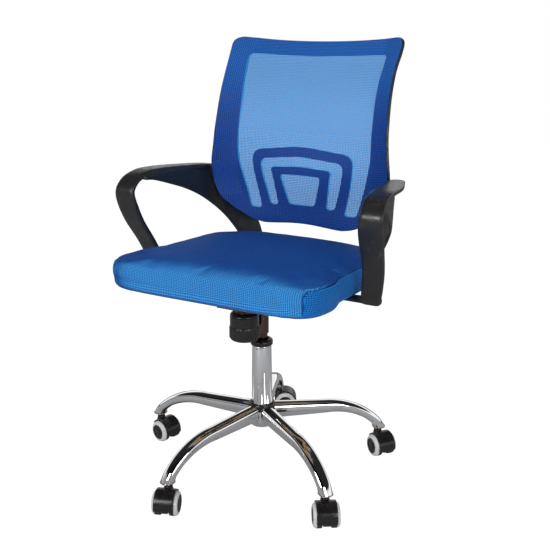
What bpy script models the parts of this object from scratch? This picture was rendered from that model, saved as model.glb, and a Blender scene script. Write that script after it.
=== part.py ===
"""Swivel office chair: mesh back, padded seat, one-piece loop armrests, gas lift and a five-arm caster base.

Metres, +Z up; the chair faces -Y and +X is the sitter's left. The chair is laid out from the gas-lift axis
at x = y = 0 and the floor at z = 0. Azimuths run from -Y towards +X. The last step moves the whole chair so
that the origin is the bottom centre of its box.
"""
from math import atan2, ceil, cos, hypot, pi, radians, sin, sqrt

import bmesh
import bpy
from mathutils import Matrix, Vector

# ---- clearances -------------------------------------------------------------------------------------------
SEAT_GAP = 0.0003          # between faces that rest on each other
RUN_GAP = 0.0003           # round a piece that turns or slides

# ---- five-arm base ----------------------------------------------------------------------------------------
ARM_COUNT = 5
FIRST_ARM_AZIMUTH = radians(-15.8)
CASTER_CIRCLE_R = 0.295    # gas-lift axis to caster stems
HUB_R = 0.031
HUB_WALL = 0.003
HUB_BOTTOM = 0.1045
HUB_TOP = 0.1457
RING_HEIGHT = 0.016
BASE_ARM_TOP = 0.157       # arm's top line at the hub
BASE_ARM_FALL = 0.007      # how far that line falls before the bend
BASE_ARM_BEND_R = 0.190    # radius of the top line's bend
BASE_ARM_BEND_ANGLE = radians(46)
BASE_ARM_DEPTH = (0.040, 0.023)   # at the hub and at the bend's end
BASE_ARM_WIDTH = (0.035, 0.030)
BASE_ARM_TIP_Z = 0.068
BASE_ARM_TIP_LENGTH = 0.031

# ---- twin-wheel casters -----------------------------------------------------------------------------------
WHEEL_R = 0.0275
WHEEL_WIDTH = 0.0190
WHEEL_SPACING = 0.0205     # between the two wheels' inner faces
CASTER_TRAIL = 0.020       # stem axis to axle
HOOD_WIDTH = 0.046
HOOD_WALL = 0.0025
STEM_R = 0.0055
STEM_SOCKET_DEPTH = 0.016
AXLE_R = 0.003
WHEEL_FACETS = 16
TRAIL_AZIMUTHS = tuple(radians(a) for a in (20, 32, 52, 118, 74))   # where each caster's wheels trail

# ---- gas lift ---------------------------------------------------------------------------------------------
COLUMN_BOTTOM = 0.1075
COLUMN_TOP = 0.310
COLUMN_R = (0.0235, 0.0260, 0.0230)    # in the hub, at the flutes, at the top
COLUMN_WALL = 0.002
FLUTE_TOP = 0.217
FLUTE_DEPTH = 0.0045
FLUTE_COUNT = 4
BUSH_FLANGE_R = 0.0265
BUSH_FLANGE_HEIGHT = 0.0135
BUSH_SLEEVE_LENGTH = 0.080
CYLINDER_R = 0.0140
CYLINDER_WALL = 0.0018
CYLINDER_BOTTOM = 0.190
CYLINDER_TOP = 0.436
COLLAR_R = 0.0168
COLLAR_BOTTOM = 0.339
COLLAR_DROP = 0.062                      # how far down the bush lets the collar in
COLLAR_STEP_Z = 0.379
ROD_R = 0.005
ROD_BOTTOM = 0.1000
PISTON_Z = 0.245
BUTTON_R = 0.0038
BUTTON_HEIGHT = 0.005
BUTTON_STROKE = 0.0035

# ---- tilt mechanism ---------------------------------------------------------------------------------------
HOUSING_HALF_WIDTH = 0.045
HOUSING_FRONT = -0.125
HOUSING_REAR = 0.045
HOUSING_FLOOR = 0.431
HOUSING_WALL_TOP = (0.4555, 0.4365)     # front stretch, rear end
HOUSING_SHEET = 0.003
PIVOT_Y = -0.035
PIVOT_Z = 0.444
PIN_R = 0.005
PLATE_HALF = (0.095, 0.130)
PLATE_SHEET = 0.003
FLANGE_REACH = 0.025                    # how far the plate's ears come down
BOLT_Y = -0.080
BOLT_R = 0.005
BOLT_HEAD_R = 0.007
KNOB_R = (0.035, 0.033)                 # bottom, top
KNOB_BOTTOM = 0.351
KNOB_TOP = 0.415
KNOB_NECK_R = 0.020
KNOB_NECK_TOP = 0.4225
KNOB_FLUTES = 14
KNOB_FLUTE_SHARE = 0.04                 # depth, of the knob's radius
SPRING_R = 0.0145
SPRING_WIRE_R = 0.0018
SPRING_TURNS = 5.5
LEVER_Z = 0.445
LEVER_R = 0.0035
LEVER_TIP_X = -0.215
LEVER_DROP = 0.019
PADDLE_SIZE = (0.060, 0.022, 0.008)

# ---- seat -------------------------------------------------------------------------------------------------
SEAT_TILT = radians(4.3)
SEAT_Z = 0.4645                         # underside of the pan on the gas-lift axis
SEAT_HALF_WIDTH = 0.2500                # where the armrests pass
SEAT_FLARE = 0.0160                     # more at each front corner
SEAT_FLARE_Y = (-0.075, -0.160)         # where the flare starts and is full
SEAT_FRONT = -0.276
SEAT_REAR = 0.232
SEAT_ROUNDING = 7.5                     # plan corners, as a superellipse exponent
PAN_THICKNESS = 0.010
PAN_INSET = 0.028
GUSSET_HEIGHT = 0.063                   # underside to the side seam
GUSSET_INSET = (0.016, 0.005)           # how far the bottom and the seam lie inside the fullest line
SEAT_CROWN = (0.021, 0.026)             # above the seam, front and rear

# ---- armrests ---------------------------------------------------------------------------------------------
DRAWN_HALF_WIDTH = 0.2500               # the seat's half width that both routes below are drawn for
ARM_SPREAD = SEAT_HALF_WIDTH - DRAWN_HALF_WIDTH
# Centre of the ribbon's outer face (x, y, z) and its width, from above the front foot over the top.
RIBBON_ROUTE = (
    (0.2785, -0.0245, 0.4720, 0.0470), (0.2840, -0.0340, 0.5000, 0.0490), (0.2920, -0.0520, 0.5400, 0.0500),
    (0.2990, -0.0810, 0.5880, 0.0530), (0.3020, -0.1000, 0.6300, 0.0550), (0.3040, -0.1065, 0.6600, 0.0520),
    (0.3035, -0.0990, 0.6800, 0.0510), (0.3015, -0.0760, 0.6980, 0.0500), (0.2985, -0.0380, 0.7075, 0.0510),
    (0.2950, 0.0000, 0.7085, 0.0520), (0.2885, 0.0500, 0.7060, 0.0520), (0.2785, 0.0950, 0.7030, 0.0490),
    (0.2665, 0.1400, 0.7000, 0.0440), (0.2605, 0.1700, 0.6970, 0.0360), (0.2550, 0.1950, 0.6930, 0.0240),
)
RIBBON_THICKNESS = 0.013
# Front or lower edge, then rear or upper edge, of the strap that leaves the ribbon and goes down to the seat.
STRAP_ROUTE = (
    ((0.2745, -0.062, 0.6880), (0.2745, -0.062, 0.6960)), ((0.2710, -0.030, 0.6830), (0.2710, -0.030, 0.7000)),
    ((0.2655, 0.021, 0.6670), (0.2665, 0.021, 0.7010)), ((0.2590, 0.080, 0.6460), (0.2600, 0.075, 0.6990)),
    ((0.2515, 0.130, 0.6220), (0.2545, 0.125, 0.6970)), ((0.2430, 0.176, 0.5920), (0.2490, 0.178, 0.6945)),
    ((0.2320, 0.212, 0.5600), (0.2290, 0.222, 0.6680)), ((0.2180, 0.232, 0.5300), (0.2020, 0.250, 0.6200)),
    ((0.2030, 0.243, 0.5020), (0.1790, 0.269, 0.5720)), ((0.1900, 0.250, 0.4780), (0.1600, 0.282, 0.5250)),
    ((0.1790, 0.250, 0.4560), (0.1520, 0.284, 0.4760)), ((0.1710, 0.240, 0.4460), (0.1520, 0.260, 0.4370)),
)
STRAP_THICKNESS = 0.010
FOOT_THICKNESS = 0.007
FRONT_FOOT_X = (0.135, 0.2990 + ARM_SPREAD)
FRONT_FOOT_Y = (-0.0235, 0.0200)
FRONT_FOOT_CORNER_R = 0.015
REAR_FOOT_X = (0.138, 0.200 + ARM_SPREAD)
REAR_FOOT_Y = (0.120, 0.256)
FRONT_SCREW_X = 0.165
REAR_SCREW = (0.176, 0.150)
SCREW_R = 0.003
SCREW_HEAD = (0.006, 0.003)             # radius, height
SCREW_DEPTH = 0.008                     # into the pan

# ---- backrest ---------------------------------------------------------------------------------------------
# Height, half width and y of the outer edge.
BACK_STATIONS = (
    (0.551, 0.108, 0.2090), (0.557, 0.138, 0.2070), (0.570, 0.168, 0.2015), (0.587, 0.193, 0.1945),
    (0.616, 0.2185, 0.1840), (0.653, 0.2345, 0.1745), (0.700, 0.2365, 0.1680), (0.745, 0.2315, 0.1705),
    (0.796, 0.227, 0.1760), (0.874, 0.223, 0.1970), (0.932, 0.222, 0.2240), (0.972, 0.2245, 0.2520),
    (0.994, 0.2240, 0.2670), (1.003, 0.216, 0.2730), (1.006, 0.202, 0.2755),
)
BACK_WRAP = 0.034                       # how far the outer edges stand in front of the middle
MEMBER_WIDTH = 0.055
TOP_DIP = 0.0115
BOTTOM_RISE = 0.007
LUMBAR_BULGE = 0.013
LUMBAR_CENTRE_Z = 0.675
LUMBAR_HALF = (0.160, 0.115)
FRAME_THICKNESS = 0.006
MESH_THICKNESS = 0.0015
MESH_GAP = 0.0010           # between the frame and the mesh stretched over it
# Right halves of the frame's cut-outs (x, z), from the bottom round to the top.
WINDOW_SIDE = ((0.145, 0.588), (0.172, 0.685), (0.180, 0.730), (0.177, 0.873), (0.184, 0.966), (0.0, 0.960))
OUTER_ARCH = ((0.113, 0.588), (0.132, 0.675), (0.138, 0.736), (0.0, 0.752))
OUTER_ARCH_INSIDE = ((0.088, 0.600), (0.108, 0.675), (0.113, 0.716), (0.0, 0.728))
INNER_ARCH = ((0.0655, 0.600), (0.0765, 0.675), (0.082, 0.697), (0.0, 0.704))
INNER_ARCH_INSIDE = ((0.035, 0.605), (0.0525, 0.670), (0.053, 0.681), (0.0, 0.683))
CUTOUT_CORNER_R = 0.012
BOSS_R = 0.011
BOSS_Y = 0.228
BOSS_Z = 0.632
BOSS_X = (0.178, 0.2265 + ARM_SPREAD)
BACK_BOLT_R = 0.003

PARTS = "swivel_office_chair"

BLACK = ("black_nylon", (0.028, 0.028, 0.030), 0.45, 0.0)
GLOSS_BLACK = ("black_plastic", (0.015, 0.015, 0.017), 0.30, 0.0)
CHROME = ("chrome", (0.86, 0.86, 0.87), 0.08, 1.0)
STEEL = ("steel", (0.55, 0.55, 0.56), 0.30, 1.0)
DARK_STEEL = ("dark_steel", (0.045, 0.040, 0.038), 0.30, 0.8)
BLUE_SEAT = ("blue_seat_fabric", (0.010, 0.080, 0.330), 0.85, 0.0)
BLUE_MESH = ("blue_back_mesh", (0.060, 0.290, 0.650), 0.75, 0.0)
WOOD = ("plywood", (0.480, 0.330, 0.190), 0.70, 0.0)


# ---- scene helpers ----------------------------------------------------------------------------------------
def clear_scene():
    """Remove what the scene holds and make the collections for parts and cutters."""
    for item in list(bpy.data.objects):
        bpy.data.objects.remove(item, do_unlink=True)
    for name in (PARTS, "cutters"):
        bpy.context.scene.collection.children.link(bpy.data.collections.new(name))


def material(look):
    """Return the material for a (name, colour, roughness, metallic) look."""
    name, colour, roughness, metallic = look
    if name in bpy.data.materials:
        return bpy.data.materials[name]
    made = bpy.data.materials.new(name)
    made.use_nodes = True
    shader = made.node_tree.nodes["Principled BSDF"]
    shader.inputs["Base Color"].default_value = (*colour, 1.0)
    shader.inputs["Roughness"].default_value = roughness
    shader.inputs["Metallic"].default_value = metallic
    return made


def add_piece(name, mesh, look=None, parent=None):
    """Link a mesh as a named part, smooth where it is round."""
    piece = bpy.data.objects.new(name, mesh)
    bpy.data.collections[PARTS].objects.link(piece)
    if look:
        mesh.materials.clear()
        mesh.materials.append(material(look))
    mesh.shade_smooth()
    mesh.set_sharp_from_angle(angle=radians(32))
    piece.parent = parent
    return piece


def add_anchor(name, place, parent=None):
    """Add an empty, the axis that moving pieces hang from; place is relative to its parent."""
    empty = bpy.data.objects.new(name, None)
    empty.empty_display_size = 0.03
    empty.location = place
    empty.parent = parent
    bpy.data.collections[PARTS].objects.link(empty)
    return empty


def hang(piece, anchor):
    """Parent a piece that was built in the chair's own frame to an anchor, leaving it where it is."""
    bpy.context.view_layer.update()
    piece.parent = anchor
    piece.matrix_parent_inverse = anchor.matrix_world.inverted()
    return piece


def mesh_from(form, name="form"):
    """Turn a bmesh into a mesh with its faces pointing out."""
    bmesh.ops.recalc_face_normals(form, faces=form.faces)
    mesh = bpy.data.meshes.new(name)
    form.to_mesh(mesh)
    form.free()
    return mesh


def evaluated_mesh(source, modifiers=(), weld=1e-5):
    """Evaluate a mesh or curve with (type, settings) modifiers and return the welded result."""
    holder = bpy.data.objects.new("holder", source)
    bpy.context.scene.collection.objects.link(holder)
    for kind, settings in modifiers:
        modifier = holder.modifiers.new(kind.title(), kind)
        for key, value in settings.items():
            setattr(modifier, key, value)
    graph = bpy.context.evaluated_depsgraph_get()
    result = bpy.data.meshes.new_from_object(holder.evaluated_get(graph))
    bpy.data.objects.remove(holder)
    form = bmesh.new()
    form.from_mesh(result)
    bmesh.ops.remove_doubles(form, verts=form.verts, dist=weld)
    form.to_mesh(result)
    form.free()
    return result


def moved(mesh, matrix):
    """Return the mesh after moving it."""
    mesh.transform(matrix)
    return mesh


def combined(base, *steps):
    """Cut, join or intersect a mesh with others: each step is (operation, mesh)."""
    for operation, other in steps:
        cutter = bpy.data.objects.new("cutter", other)
        cutter.hide_render = True
        cutter.display_type = "WIRE"
        bpy.data.collections["cutters"].objects.link(cutter)
        base = evaluated_mesh(base, [("BOOLEAN", {"operation": operation, "object": cutter})])
        bpy.data.objects.remove(cutter)
    return base


# ---- shape helpers ----------------------------------------------------------------------------------------
def turned(profile, segments=32, axis_place=(0, 0, 0), closed=True):
    """Turn (radius, z) points about Z. They run down the outside; an open profile starts and ends on the axis."""
    form = bmesh.new()
    verts = [form.verts.new((r, 0, z)) for r, z in profile]
    for first, second in zip(verts, verts[1:]):
        form.edges.new((first, second))
    if closed:
        form.edges.new((verts[-1], verts[0]))
    wire = bpy.data.meshes.new("profile")
    form.to_mesh(wire)
    form.free()
    screw = {"steps": segments, "render_steps": segments, "use_merge_vertices": True, "merge_threshold": 1e-5,
             "use_normal_calculate": True}
    solid = evaluated_mesh(wire, [("SCREW", screw)])
    form = bmesh.new()
    form.from_mesh(solid)
    solid = mesh_from(form)
    return moved(solid, Matrix.Translation(axis_place))


def rod(radius, start, end, segments=24):
    """A plain cylinder between two points."""
    start, end = Vector(start), Vector(end)
    form = bmesh.new()
    bmesh.ops.create_cone(form, cap_ends=True, segments=segments, radius1=radius, radius2=radius,
                          depth=(end - start).length)
    turn = (end - start).to_track_quat("Z", "Y").to_matrix().to_4x4()
    bmesh.ops.transform(form, matrix=Matrix.Translation((start + end) / 2) @ turn, verts=form.verts)
    return mesh_from(form)


def block(low, high):
    """A box between two corners."""
    low, high = Vector(low), Vector(high)
    form = bmesh.new()
    bmesh.ops.create_cube(form, size=1.0)
    bmesh.ops.scale(form, vec=high - low, verts=form.verts)
    bmesh.ops.translate(form, vec=(low + high) / 2, verts=form.verts)
    return mesh_from(form)


def loft(rings, name="loft"):
    """Bridge rings of the same number of points and cap both ends."""
    form = bmesh.new()
    rows = [[form.verts.new(point) for point in ring] for ring in rings]
    for row, after in zip(rows, rows[1:]):
        for i in range(len(row)):
            j = (i + 1) % len(row)
            form.faces.new((row[i], row[j], after[j], after[i]))
    form.faces.new(reversed(rows[0]))
    form.faces.new(rows[-1])
    return mesh_from(form, name)


def oval_ring(centre, side, up, half_width, half_height, points=12, power=2.6):
    """Points of a superellipse round a centre, spanned by two unit vectors."""
    ring = []
    for i in range(points):
        angle = 2 * pi * (i + 0.5) / points
        c, s = cos(angle), sin(angle)
        across = half_width * abs(c) ** (2 / power) * (1 if c > 0 else -1)
        along = half_height * abs(s) ** (2 / power) * (1 if s > 0 else -1)
        ring.append(centre + side * across + up * along)
    return ring


def strip_ring(edge_a, edge_b, inward, thickness, corner=0.0025):
    """Section of a flat bar from one edge to the other, its outer face on the edges, corners taken off."""
    across = (edge_b - edge_a).normalized()
    corner = min(corner, thickness * 0.4)
    depth = inward * thickness
    return [edge_a + across * corner, edge_b - across * corner,
            edge_b + inward * corner, edge_b + depth - inward * corner,
            edge_b + depth - across * corner, edge_a + depth + across * corner,
            edge_a + depth - inward * corner, edge_a + inward * corner]


def spline(points, steps):
    """Smooth curve through points of any size, with this many steps between neighbours."""
    points = [Vector(p) for p in points]
    ends = [2 * points[0] - points[1], *points, 2 * points[-1] - points[-2]]
    curve = []
    for before, start, end, after in zip(ends, ends[1:], ends[2:], ends[3:]):
        for step in range(steps):
            t = step / steps
            curve.append(0.5 * (2 * start + (end - before) * t + (2 * before - 5 * start + 4 * end - after) * t * t
                                + (3 * start - before - 3 * end + after) * t ** 3))
    return [*curve, points[-1]]


def rounded_outline(corners, radius, steps=3):
    """A closed polygon of (x, z) corners with each corner replaced by an arc."""
    outline = []
    count = len(corners)
    for i, corner in enumerate(corners):
        here = Vector(corner)
        back = Vector(corners[i - 1]) - here
        ahead = Vector(corners[(i + 1) % count]) - here
        reach = min(radius, back.length * 0.45, ahead.length * 0.45)
        start, end = here + back.normalized() * reach, here + ahead.normalized() * reach
        for step in range(steps + 1):
            t = step / steps
            outline.append((1 - t) ** 2 * start + 2 * t * (1 - t) * here + t * t * end)
    return outline


def prism(outline, y_low, y_high):
    """A flat (x, z) outline given a thickness along Y."""
    return loft([[Vector((p[0], y, p[1])) for p in outline] for y in (y_low, y_high)])


def mirrored(points):
    """A right half of (x, z) points on the way up, and its left half on the way down."""
    left = [(-x, z) for x, z in reversed(points) if x > 0]
    return [*points, *left]


# ---- base -------------------------------------------------------------------------------------------------
def heading(azimuth):
    """Horizontal unit vector at an azimuth from -Y towards +X."""
    return Vector((sin(azimuth), -cos(azimuth), 0))


def arm_azimuth(index):
    """Azimuth of a base arm."""
    return FIRST_ARM_AZIMUTH + 2 * pi * index / ARM_COUNT


def base_arm_mesh():
    """One pressed arm along -Y: a flat stretch, then a bend down to the caster socket."""
    side, up = Vector((1, 0, 0)), Vector((0, 0, 1))
    bend_r = BASE_ARM_BEND_R
    bend_start = CASTER_CIRCLE_R + 0.0015 - bend_r * sin(BASE_ARM_BEND_ANGLE)
    inner = HUB_R + SEAT_GAP
    rings = []
    bend_steps = 6
    stretch = [(0.0, inner), (0.0, (inner + bend_start) / 2)]
    stations = stretch + [(BASE_ARM_BEND_ANGLE * i / bend_steps, bend_start) for i in range(bend_steps + 1)]
    length = bend_start - inner + bend_r * BASE_ARM_BEND_ANGLE
    for angle, flat_r in stations:
        top_r = flat_r + bend_r * sin(angle)
        fall = BASE_ARM_FALL * (flat_r - inner) / (bend_start - inner)
        top_z = BASE_ARM_TOP - fall - bend_r * (1 - cos(angle))
        share = (flat_r - inner + bend_r * angle) / length
        depth = BASE_ARM_DEPTH[0] + (BASE_ARM_DEPTH[1] - BASE_ARM_DEPTH[0]) * min(1.0, share * 1.15)
        width = BASE_ARM_WIDTH[0] + (BASE_ARM_WIDTH[1] - BASE_ARM_WIDTH[0]) * share
        normal = Vector((0, -sin(angle), cos(angle)))
        centre = Vector((0, -top_r, top_z)) - normal * depth / 2
        rings.append(oval_ring(centre, side, normal, width / 2, depth / 2))
    tip = Vector((0, -CASTER_CIRCLE_R - 0.0015, BASE_ARM_TIP_Z))
    outward = Vector((0, -1, 0))
    rings.append(oval_ring(tip, side, outward, BASE_ARM_WIDTH[1] / 2, BASE_ARM_TIP_LENGTH / 2))
    arm = loft(rings, "base_arm")
    mouth = BASE_ARM_TIP_Z
    socket = rod(STEM_R + RUN_GAP, (0, -CASTER_CIRCLE_R, mouth - 0.01),
                 (0, -CASTER_CIRCLE_R, mouth + STEM_SOCKET_DEPTH + RUN_GAP), 12)
    return combined(arm, ("DIFFERENCE", socket))


def build_base(chair):
    """Hub, cover ring and five arms."""
    column_r = COLUMN_R[0] + SEAT_GAP
    taper = 0.0015
    skirt = HUB_R - HUB_WALL
    hub = turned([
        (HUB_R, HUB_TOP), (HUB_R, HUB_BOTTOM), (skirt, HUB_BOTTOM), (skirt, HUB_TOP - HUB_WALL),
        (column_r + 0.0015, HUB_TOP - HUB_WALL), (column_r + 0.0015 - taper, HUB_BOTTOM + 0.002),
        (column_r - taper, HUB_BOTTOM + 0.002), (column_r, HUB_TOP)], 30)
    add_piece("base_hub", hub, CHROME, chair)
    ring_low = HUB_TOP + SEAT_GAP
    ring = turned([
        (HUB_R - 0.002, ring_low + RING_HEIGHT), (HUB_R, ring_low + RING_HEIGHT - 0.002), (HUB_R, ring_low),
        (column_r, ring_low), (column_r, ring_low + RING_HEIGHT)], 30)
    add_piece("hub_ring", ring, GLOSS_BLACK, chair)
    arm_mesh = base_arm_mesh()
    for index in range(ARM_COUNT):
        arm = add_piece(f"base_arm_{index + 1}", arm_mesh, CHROME, chair)
        arm.rotation_euler.z = arm_azimuth(index)


# ---- casters ----------------------------------------------------------------------------------------------
def wheel_mesh():
    """One caster wheel about X at the origin, its domed face towards +X and its hollow towards -X."""
    half, tread = WHEEL_WIDTH / 2, WHEEL_R
    bore = AXLE_R + RUN_GAP
    # Turned about Z first, with the face up.
    profile = [
        (0, half), (tread * 0.78, half - 0.0010), (tread * 0.94, half - 0.0030), (tread, half - 0.0075),
        (tread, -half + 0.0020), (tread * 0.95, -half), (bore, -half), (bore, half - 0.004), (0, half - 0.004)]
    wheel = turned(profile, WHEEL_FACETS, closed=False)
    return moved(wheel, Matrix.Rotation(pi / 2, 4, "Y") @ Matrix.Rotation(pi / WHEEL_FACETS, 4, "Z"))


def hood_mesh():
    """Caster body about the stem axis: web between the wheels, stem boss and the fender over them."""
    axle = Vector((0, -CASTER_TRAIL, WHEEL_R))
    inner_r = WHEEL_R + 0.0012
    outer_r = inner_r + HOOD_WALL
    first, last, steps = radians(-12), radians(146), 9
    rings = []
    for i in range(steps + 1):
        angle = first + (last - first) * i / steps
        out = Vector((0, -cos(angle), sin(angle)))
        half = HOOD_WIDTH / 2
        rings.append([axle + out * r + Vector((x, 0, 0))
                      for r, x in ((inner_r, -half), (outer_r - 0.0008, -half), (outer_r, -half + 0.002),
                                   (outer_r, half - 0.002), (outer_r - 0.0008, half), (inner_r, half))])
    fender = loft(rings)
    web_half = WHEEL_SPACING / 2 - 0.0007
    web = rod(inner_r + 0.0008, axle - Vector((web_half, 0, 0)), axle + Vector((web_half, 0, 0)), 20)
    web = combined(web, ("DIFFERENCE", block(axle - Vector((0.03, 0.05, 0.05)),
                                             axle + Vector((0.03, 0.05, -0.012)))))
    boss = rod(0.0092, (0, 0, 0.030), (0, 0, BASE_ARM_TIP_Z - 0.004), 16)
    axle_hole = rod(AXLE_R + RUN_GAP, axle - Vector((0.03, 0, 0)), axle + Vector((0.03, 0, 0)), 12)
    stem_hole = rod(STEM_R + SEAT_GAP, (0, 0, 0.0365), (0, 0, 0.08), 12)
    return combined(fender, ("UNION", web), ("UNION", boss), ("DIFFERENCE", axle_hole), ("DIFFERENCE", stem_hole))


def build_casters(chair):
    """Five casters that swivel on their stems, each with two wheels on an axle."""
    hood, wheel = hood_mesh(), wheel_mesh()
    stem = turned([
        (0, BASE_ARM_TIP_Z + STEM_SOCKET_DEPTH), (STEM_R - 0.001, BASE_ARM_TIP_Z + STEM_SOCKET_DEPTH),
        (STEM_R, BASE_ARM_TIP_Z + STEM_SOCKET_DEPTH - 0.001), (STEM_R, BASE_ARM_TIP_Z - RUN_GAP),
        (0.0085, BASE_ARM_TIP_Z - RUN_GAP), (0.0085, BASE_ARM_TIP_Z - 0.003), (STEM_R, BASE_ARM_TIP_Z - 0.003),
        (STEM_R, 0.037), (0, 0.037)], 12, closed=False)
    axle_half = WHEEL_SPACING / 2 + WHEEL_WIDTH - 0.005
    axle = rod(AXLE_R, (-axle_half, 0, 0), (axle_half, 0, 0), 12)
    wheel_offset = WHEEL_SPACING / 2 + WHEEL_WIDTH / 2
    for index in range(ARM_COUNT):
        name = f"caster_{index + 1}"
        place = heading(arm_azimuth(index)) * CASTER_CIRCLE_R
        swivel = add_anchor(f"{name}_swivel_axis", place, chair)
        swivel.rotation_euler.z = TRAIL_AZIMUTHS[index]
        add_piece(f"{name}_stem", stem, STEEL, swivel)
        add_piece(f"{name}_hood", hood, GLOSS_BLACK, swivel)
        roll = add_anchor(f"{name}_axle_axis", (0, -CASTER_TRAIL, WHEEL_R), swivel)
        add_piece(f"{name}_axle", axle, STEEL, roll)
        for label, side in (("left", 1), ("right", -1)):
            turn = add_piece(f"{name}_wheel_{label}", wheel, GLOSS_BLACK, roll)
            turn.location.x = side * wheel_offset
            turn.rotation_euler.z = 0 if side > 0 else pi


# ---- gas lift ---------------------------------------------------------------------------------------------
def column_mesh():
    """Chromed tube: tapered foot in the hub, a fluted flare above the ring, then a plain tube."""
    hub_r, flute_r, top_r = COLUMN_R
    shoulder = HUB_TOP + 2 * SEAT_GAP + RING_HEIGHT
    wall = COLUMN_WALL
    slope = (hub_r - 0.0015, hub_r)
    steps = 4
    flare = [(flute_r - (flute_r - top_r) * 0.55 * (i / steps) ** 0.8, shoulder + (FLUTE_TOP - shoulder) * i / steps)
             for i in range(steps, 0, -1)]
    outer = [(top_r - 0.0008, COLUMN_TOP), (top_r, COLUMN_TOP - 0.0008), *flare, (flute_r, shoulder),
             (slope[1], shoulder), (slope[1], shoulder - 0.004), (slope[0], COLUMN_BOTTOM)]
    hole = ROD_R + RUN_GAP
    inner = [(hole, COLUMN_BOTTOM), (hole, COLUMN_BOTTOM + 0.003), (slope[0] - wall, COLUMN_BOTTOM + 0.003),
             (slope[1] - wall - 0.004, shoulder - 0.004), (slope[1] - wall - 0.004, FLUTE_TOP),
             (top_r - wall, FLUTE_TOP + 0.012), (top_r - wall, COLUMN_TOP)]
    tube = turned([*outer, *inner], 32)
    for vertex in tube.vertices:
        x, y, z = vertex.co
        radius = hypot(x, y)
        if shoulder - 1e-5 <= z < FLUTE_TOP and radius > slope[1] + 0.0005:
            lobe = cos(FLUTE_COUNT / 2 * atan2(y, x)) ** 2
            depth = FLUTE_DEPTH * (1 - lobe) ** 3 * sqrt((FLUTE_TOP - z) / (FLUTE_TOP - shoulder))
            depth = min(depth, radius - slope[1] - 0.0004)
            vertex.co.x *= (radius - depth) / radius
            vertex.co.y *= (radius - depth) / radius
    return tube


def build_gas_lift(chair, rod_axis, lift):
    """Outer tube and bush on the base, the rod that turns in it, and the cylinder that rises."""
    add_piece("column_tube", column_mesh(), CHROME, chair)
    flange_low = COLUMN_TOP + SEAT_GAP
    flange_top = flange_low + BUSH_FLANGE_HEIGHT
    bore = CYLINDER_R + RUN_GAP
    sleeve_r = COLUMN_R[2] - COLUMN_WALL - SEAT_GAP
    sleeve_low = COLUMN_TOP - BUSH_SLEEVE_LENGTH
    wide, wide_low = COLLAR_R + RUN_GAP, COLLAR_BOTTOM - COLLAR_DROP
    bush = turned([
        (BUSH_FLANGE_R - 0.002, flange_top), (BUSH_FLANGE_R, flange_top - 0.002), (BUSH_FLANGE_R, flange_low),
        (sleeve_r, flange_low), (sleeve_r, sleeve_low), (bore, sleeve_low), (bore, wide_low), (wide, wide_low),
        (wide, flange_top)], 24)
    add_piece("column_bush", bush, GLOSS_BLACK, chair)
    floor = COLUMN_BOTTOM + 0.003
    bearing = turned([
        (0.012, floor + 0.0075), (0.012, floor + SEAT_GAP), (ROD_R + RUN_GAP, floor + SEAT_GAP),
        (ROD_R + RUN_GAP, floor + 0.0075)], 16)
    add_piece("thrust_bearing", bearing, STEEL, chair)
    shoulder = floor + 0.0075 + SEAT_GAP
    clip_z = COLUMN_BOTTOM - SEAT_GAP
    groove_r = ROD_R - 0.001
    piston_r = CYLINDER_R - CYLINDER_WALL - RUN_GAP
    piston = turned([
        (0, PISTON_Z + 0.012), (piston_r, PISTON_Z + 0.012), (piston_r, PISTON_Z), (ROD_R, PISTON_Z - 0.002),
        (ROD_R, shoulder + 0.003), (0.0075, shoulder + 0.003), (0.0075, shoulder), (ROD_R, shoulder),
        (ROD_R, clip_z), (groove_r, clip_z), (groove_r, clip_z - 0.0022), (ROD_R, clip_z - 0.0022),
        (ROD_R - 0.0005, ROD_BOTTOM), (0, ROD_BOTTOM)], 16, closed=False)
    hang(add_piece("piston_rod", piston, STEEL), rod_axis)
    clip = turned([(0.0085, clip_z - 0.0003), (0.0085, clip_z - 0.0019), (groove_r + 0.0002, clip_z - 0.0019),
                   (groove_r + 0.0002, clip_z - 0.0003)], 16)
    hang(add_piece("rod_clip", clip, DARK_STEEL), rod_axis)

    inner = CYLINDER_R - CYLINDER_WALL
    seat_r = CYLINDER_R - 0.0004
    cylinder = turned([
        (seat_r - 0.001, CYLINDER_TOP), (seat_r, CYLINDER_TOP - 0.001), (CYLINDER_R, HOUSING_FLOOR - 0.017),
        (COLLAR_R - 0.0006, HOUSING_FLOOR - 0.017), (COLLAR_R - 0.0006, COLLAR_STEP_Z), (COLLAR_R, COLLAR_STEP_Z),
        (COLLAR_R, COLLAR_BOTTOM), (CYLINDER_R, COLLAR_BOTTOM), (CYLINDER_R, CYLINDER_BOTTOM),
        (ROD_R + RUN_GAP, CYLINDER_BOTTOM), (ROD_R + RUN_GAP, CYLINDER_BOTTOM + 0.008),
        (inner, CYLINDER_BOTTOM + 0.008), (inner, CYLINDER_TOP - 0.014), (BUTTON_R + RUN_GAP, CYLINDER_TOP - 0.012),
        (BUTTON_R + RUN_GAP, CYLINDER_TOP)], 24)
    hang(add_piece("gas_cylinder", cylinder, DARK_STEEL), lift)
    top = CYLINDER_TOP + BUTTON_HEIGHT
    button = turned([(0, top), (BUTTON_R - 0.0008, top), (BUTTON_R, top - 0.0008), (BUTTON_R, CYLINDER_TOP - 0.0155),
                     (BUTTON_R + 0.002, CYLINDER_TOP - 0.0160), (BUTTON_R + 0.002, CYLINDER_TOP - 0.0190),
                     (0, CYLINDER_TOP - 0.0190)], 16, closed=False)
    button_axis = add_anchor("release_button_axis", (0, 0, CYLINDER_TOP), lift)
    hang(add_piece("release_button", button, STEEL), button_axis)


# ---- tilt mechanism ---------------------------------------------------------------------------------------
def seat_matrix():
    """Place and tilt of the seat's own frame: z = 0 is the underside of the pan."""
    return Matrix.Translation((0, 0, SEAT_Z)) @ Matrix.Rotation(-SEAT_TILT, 4, "X")


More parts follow.
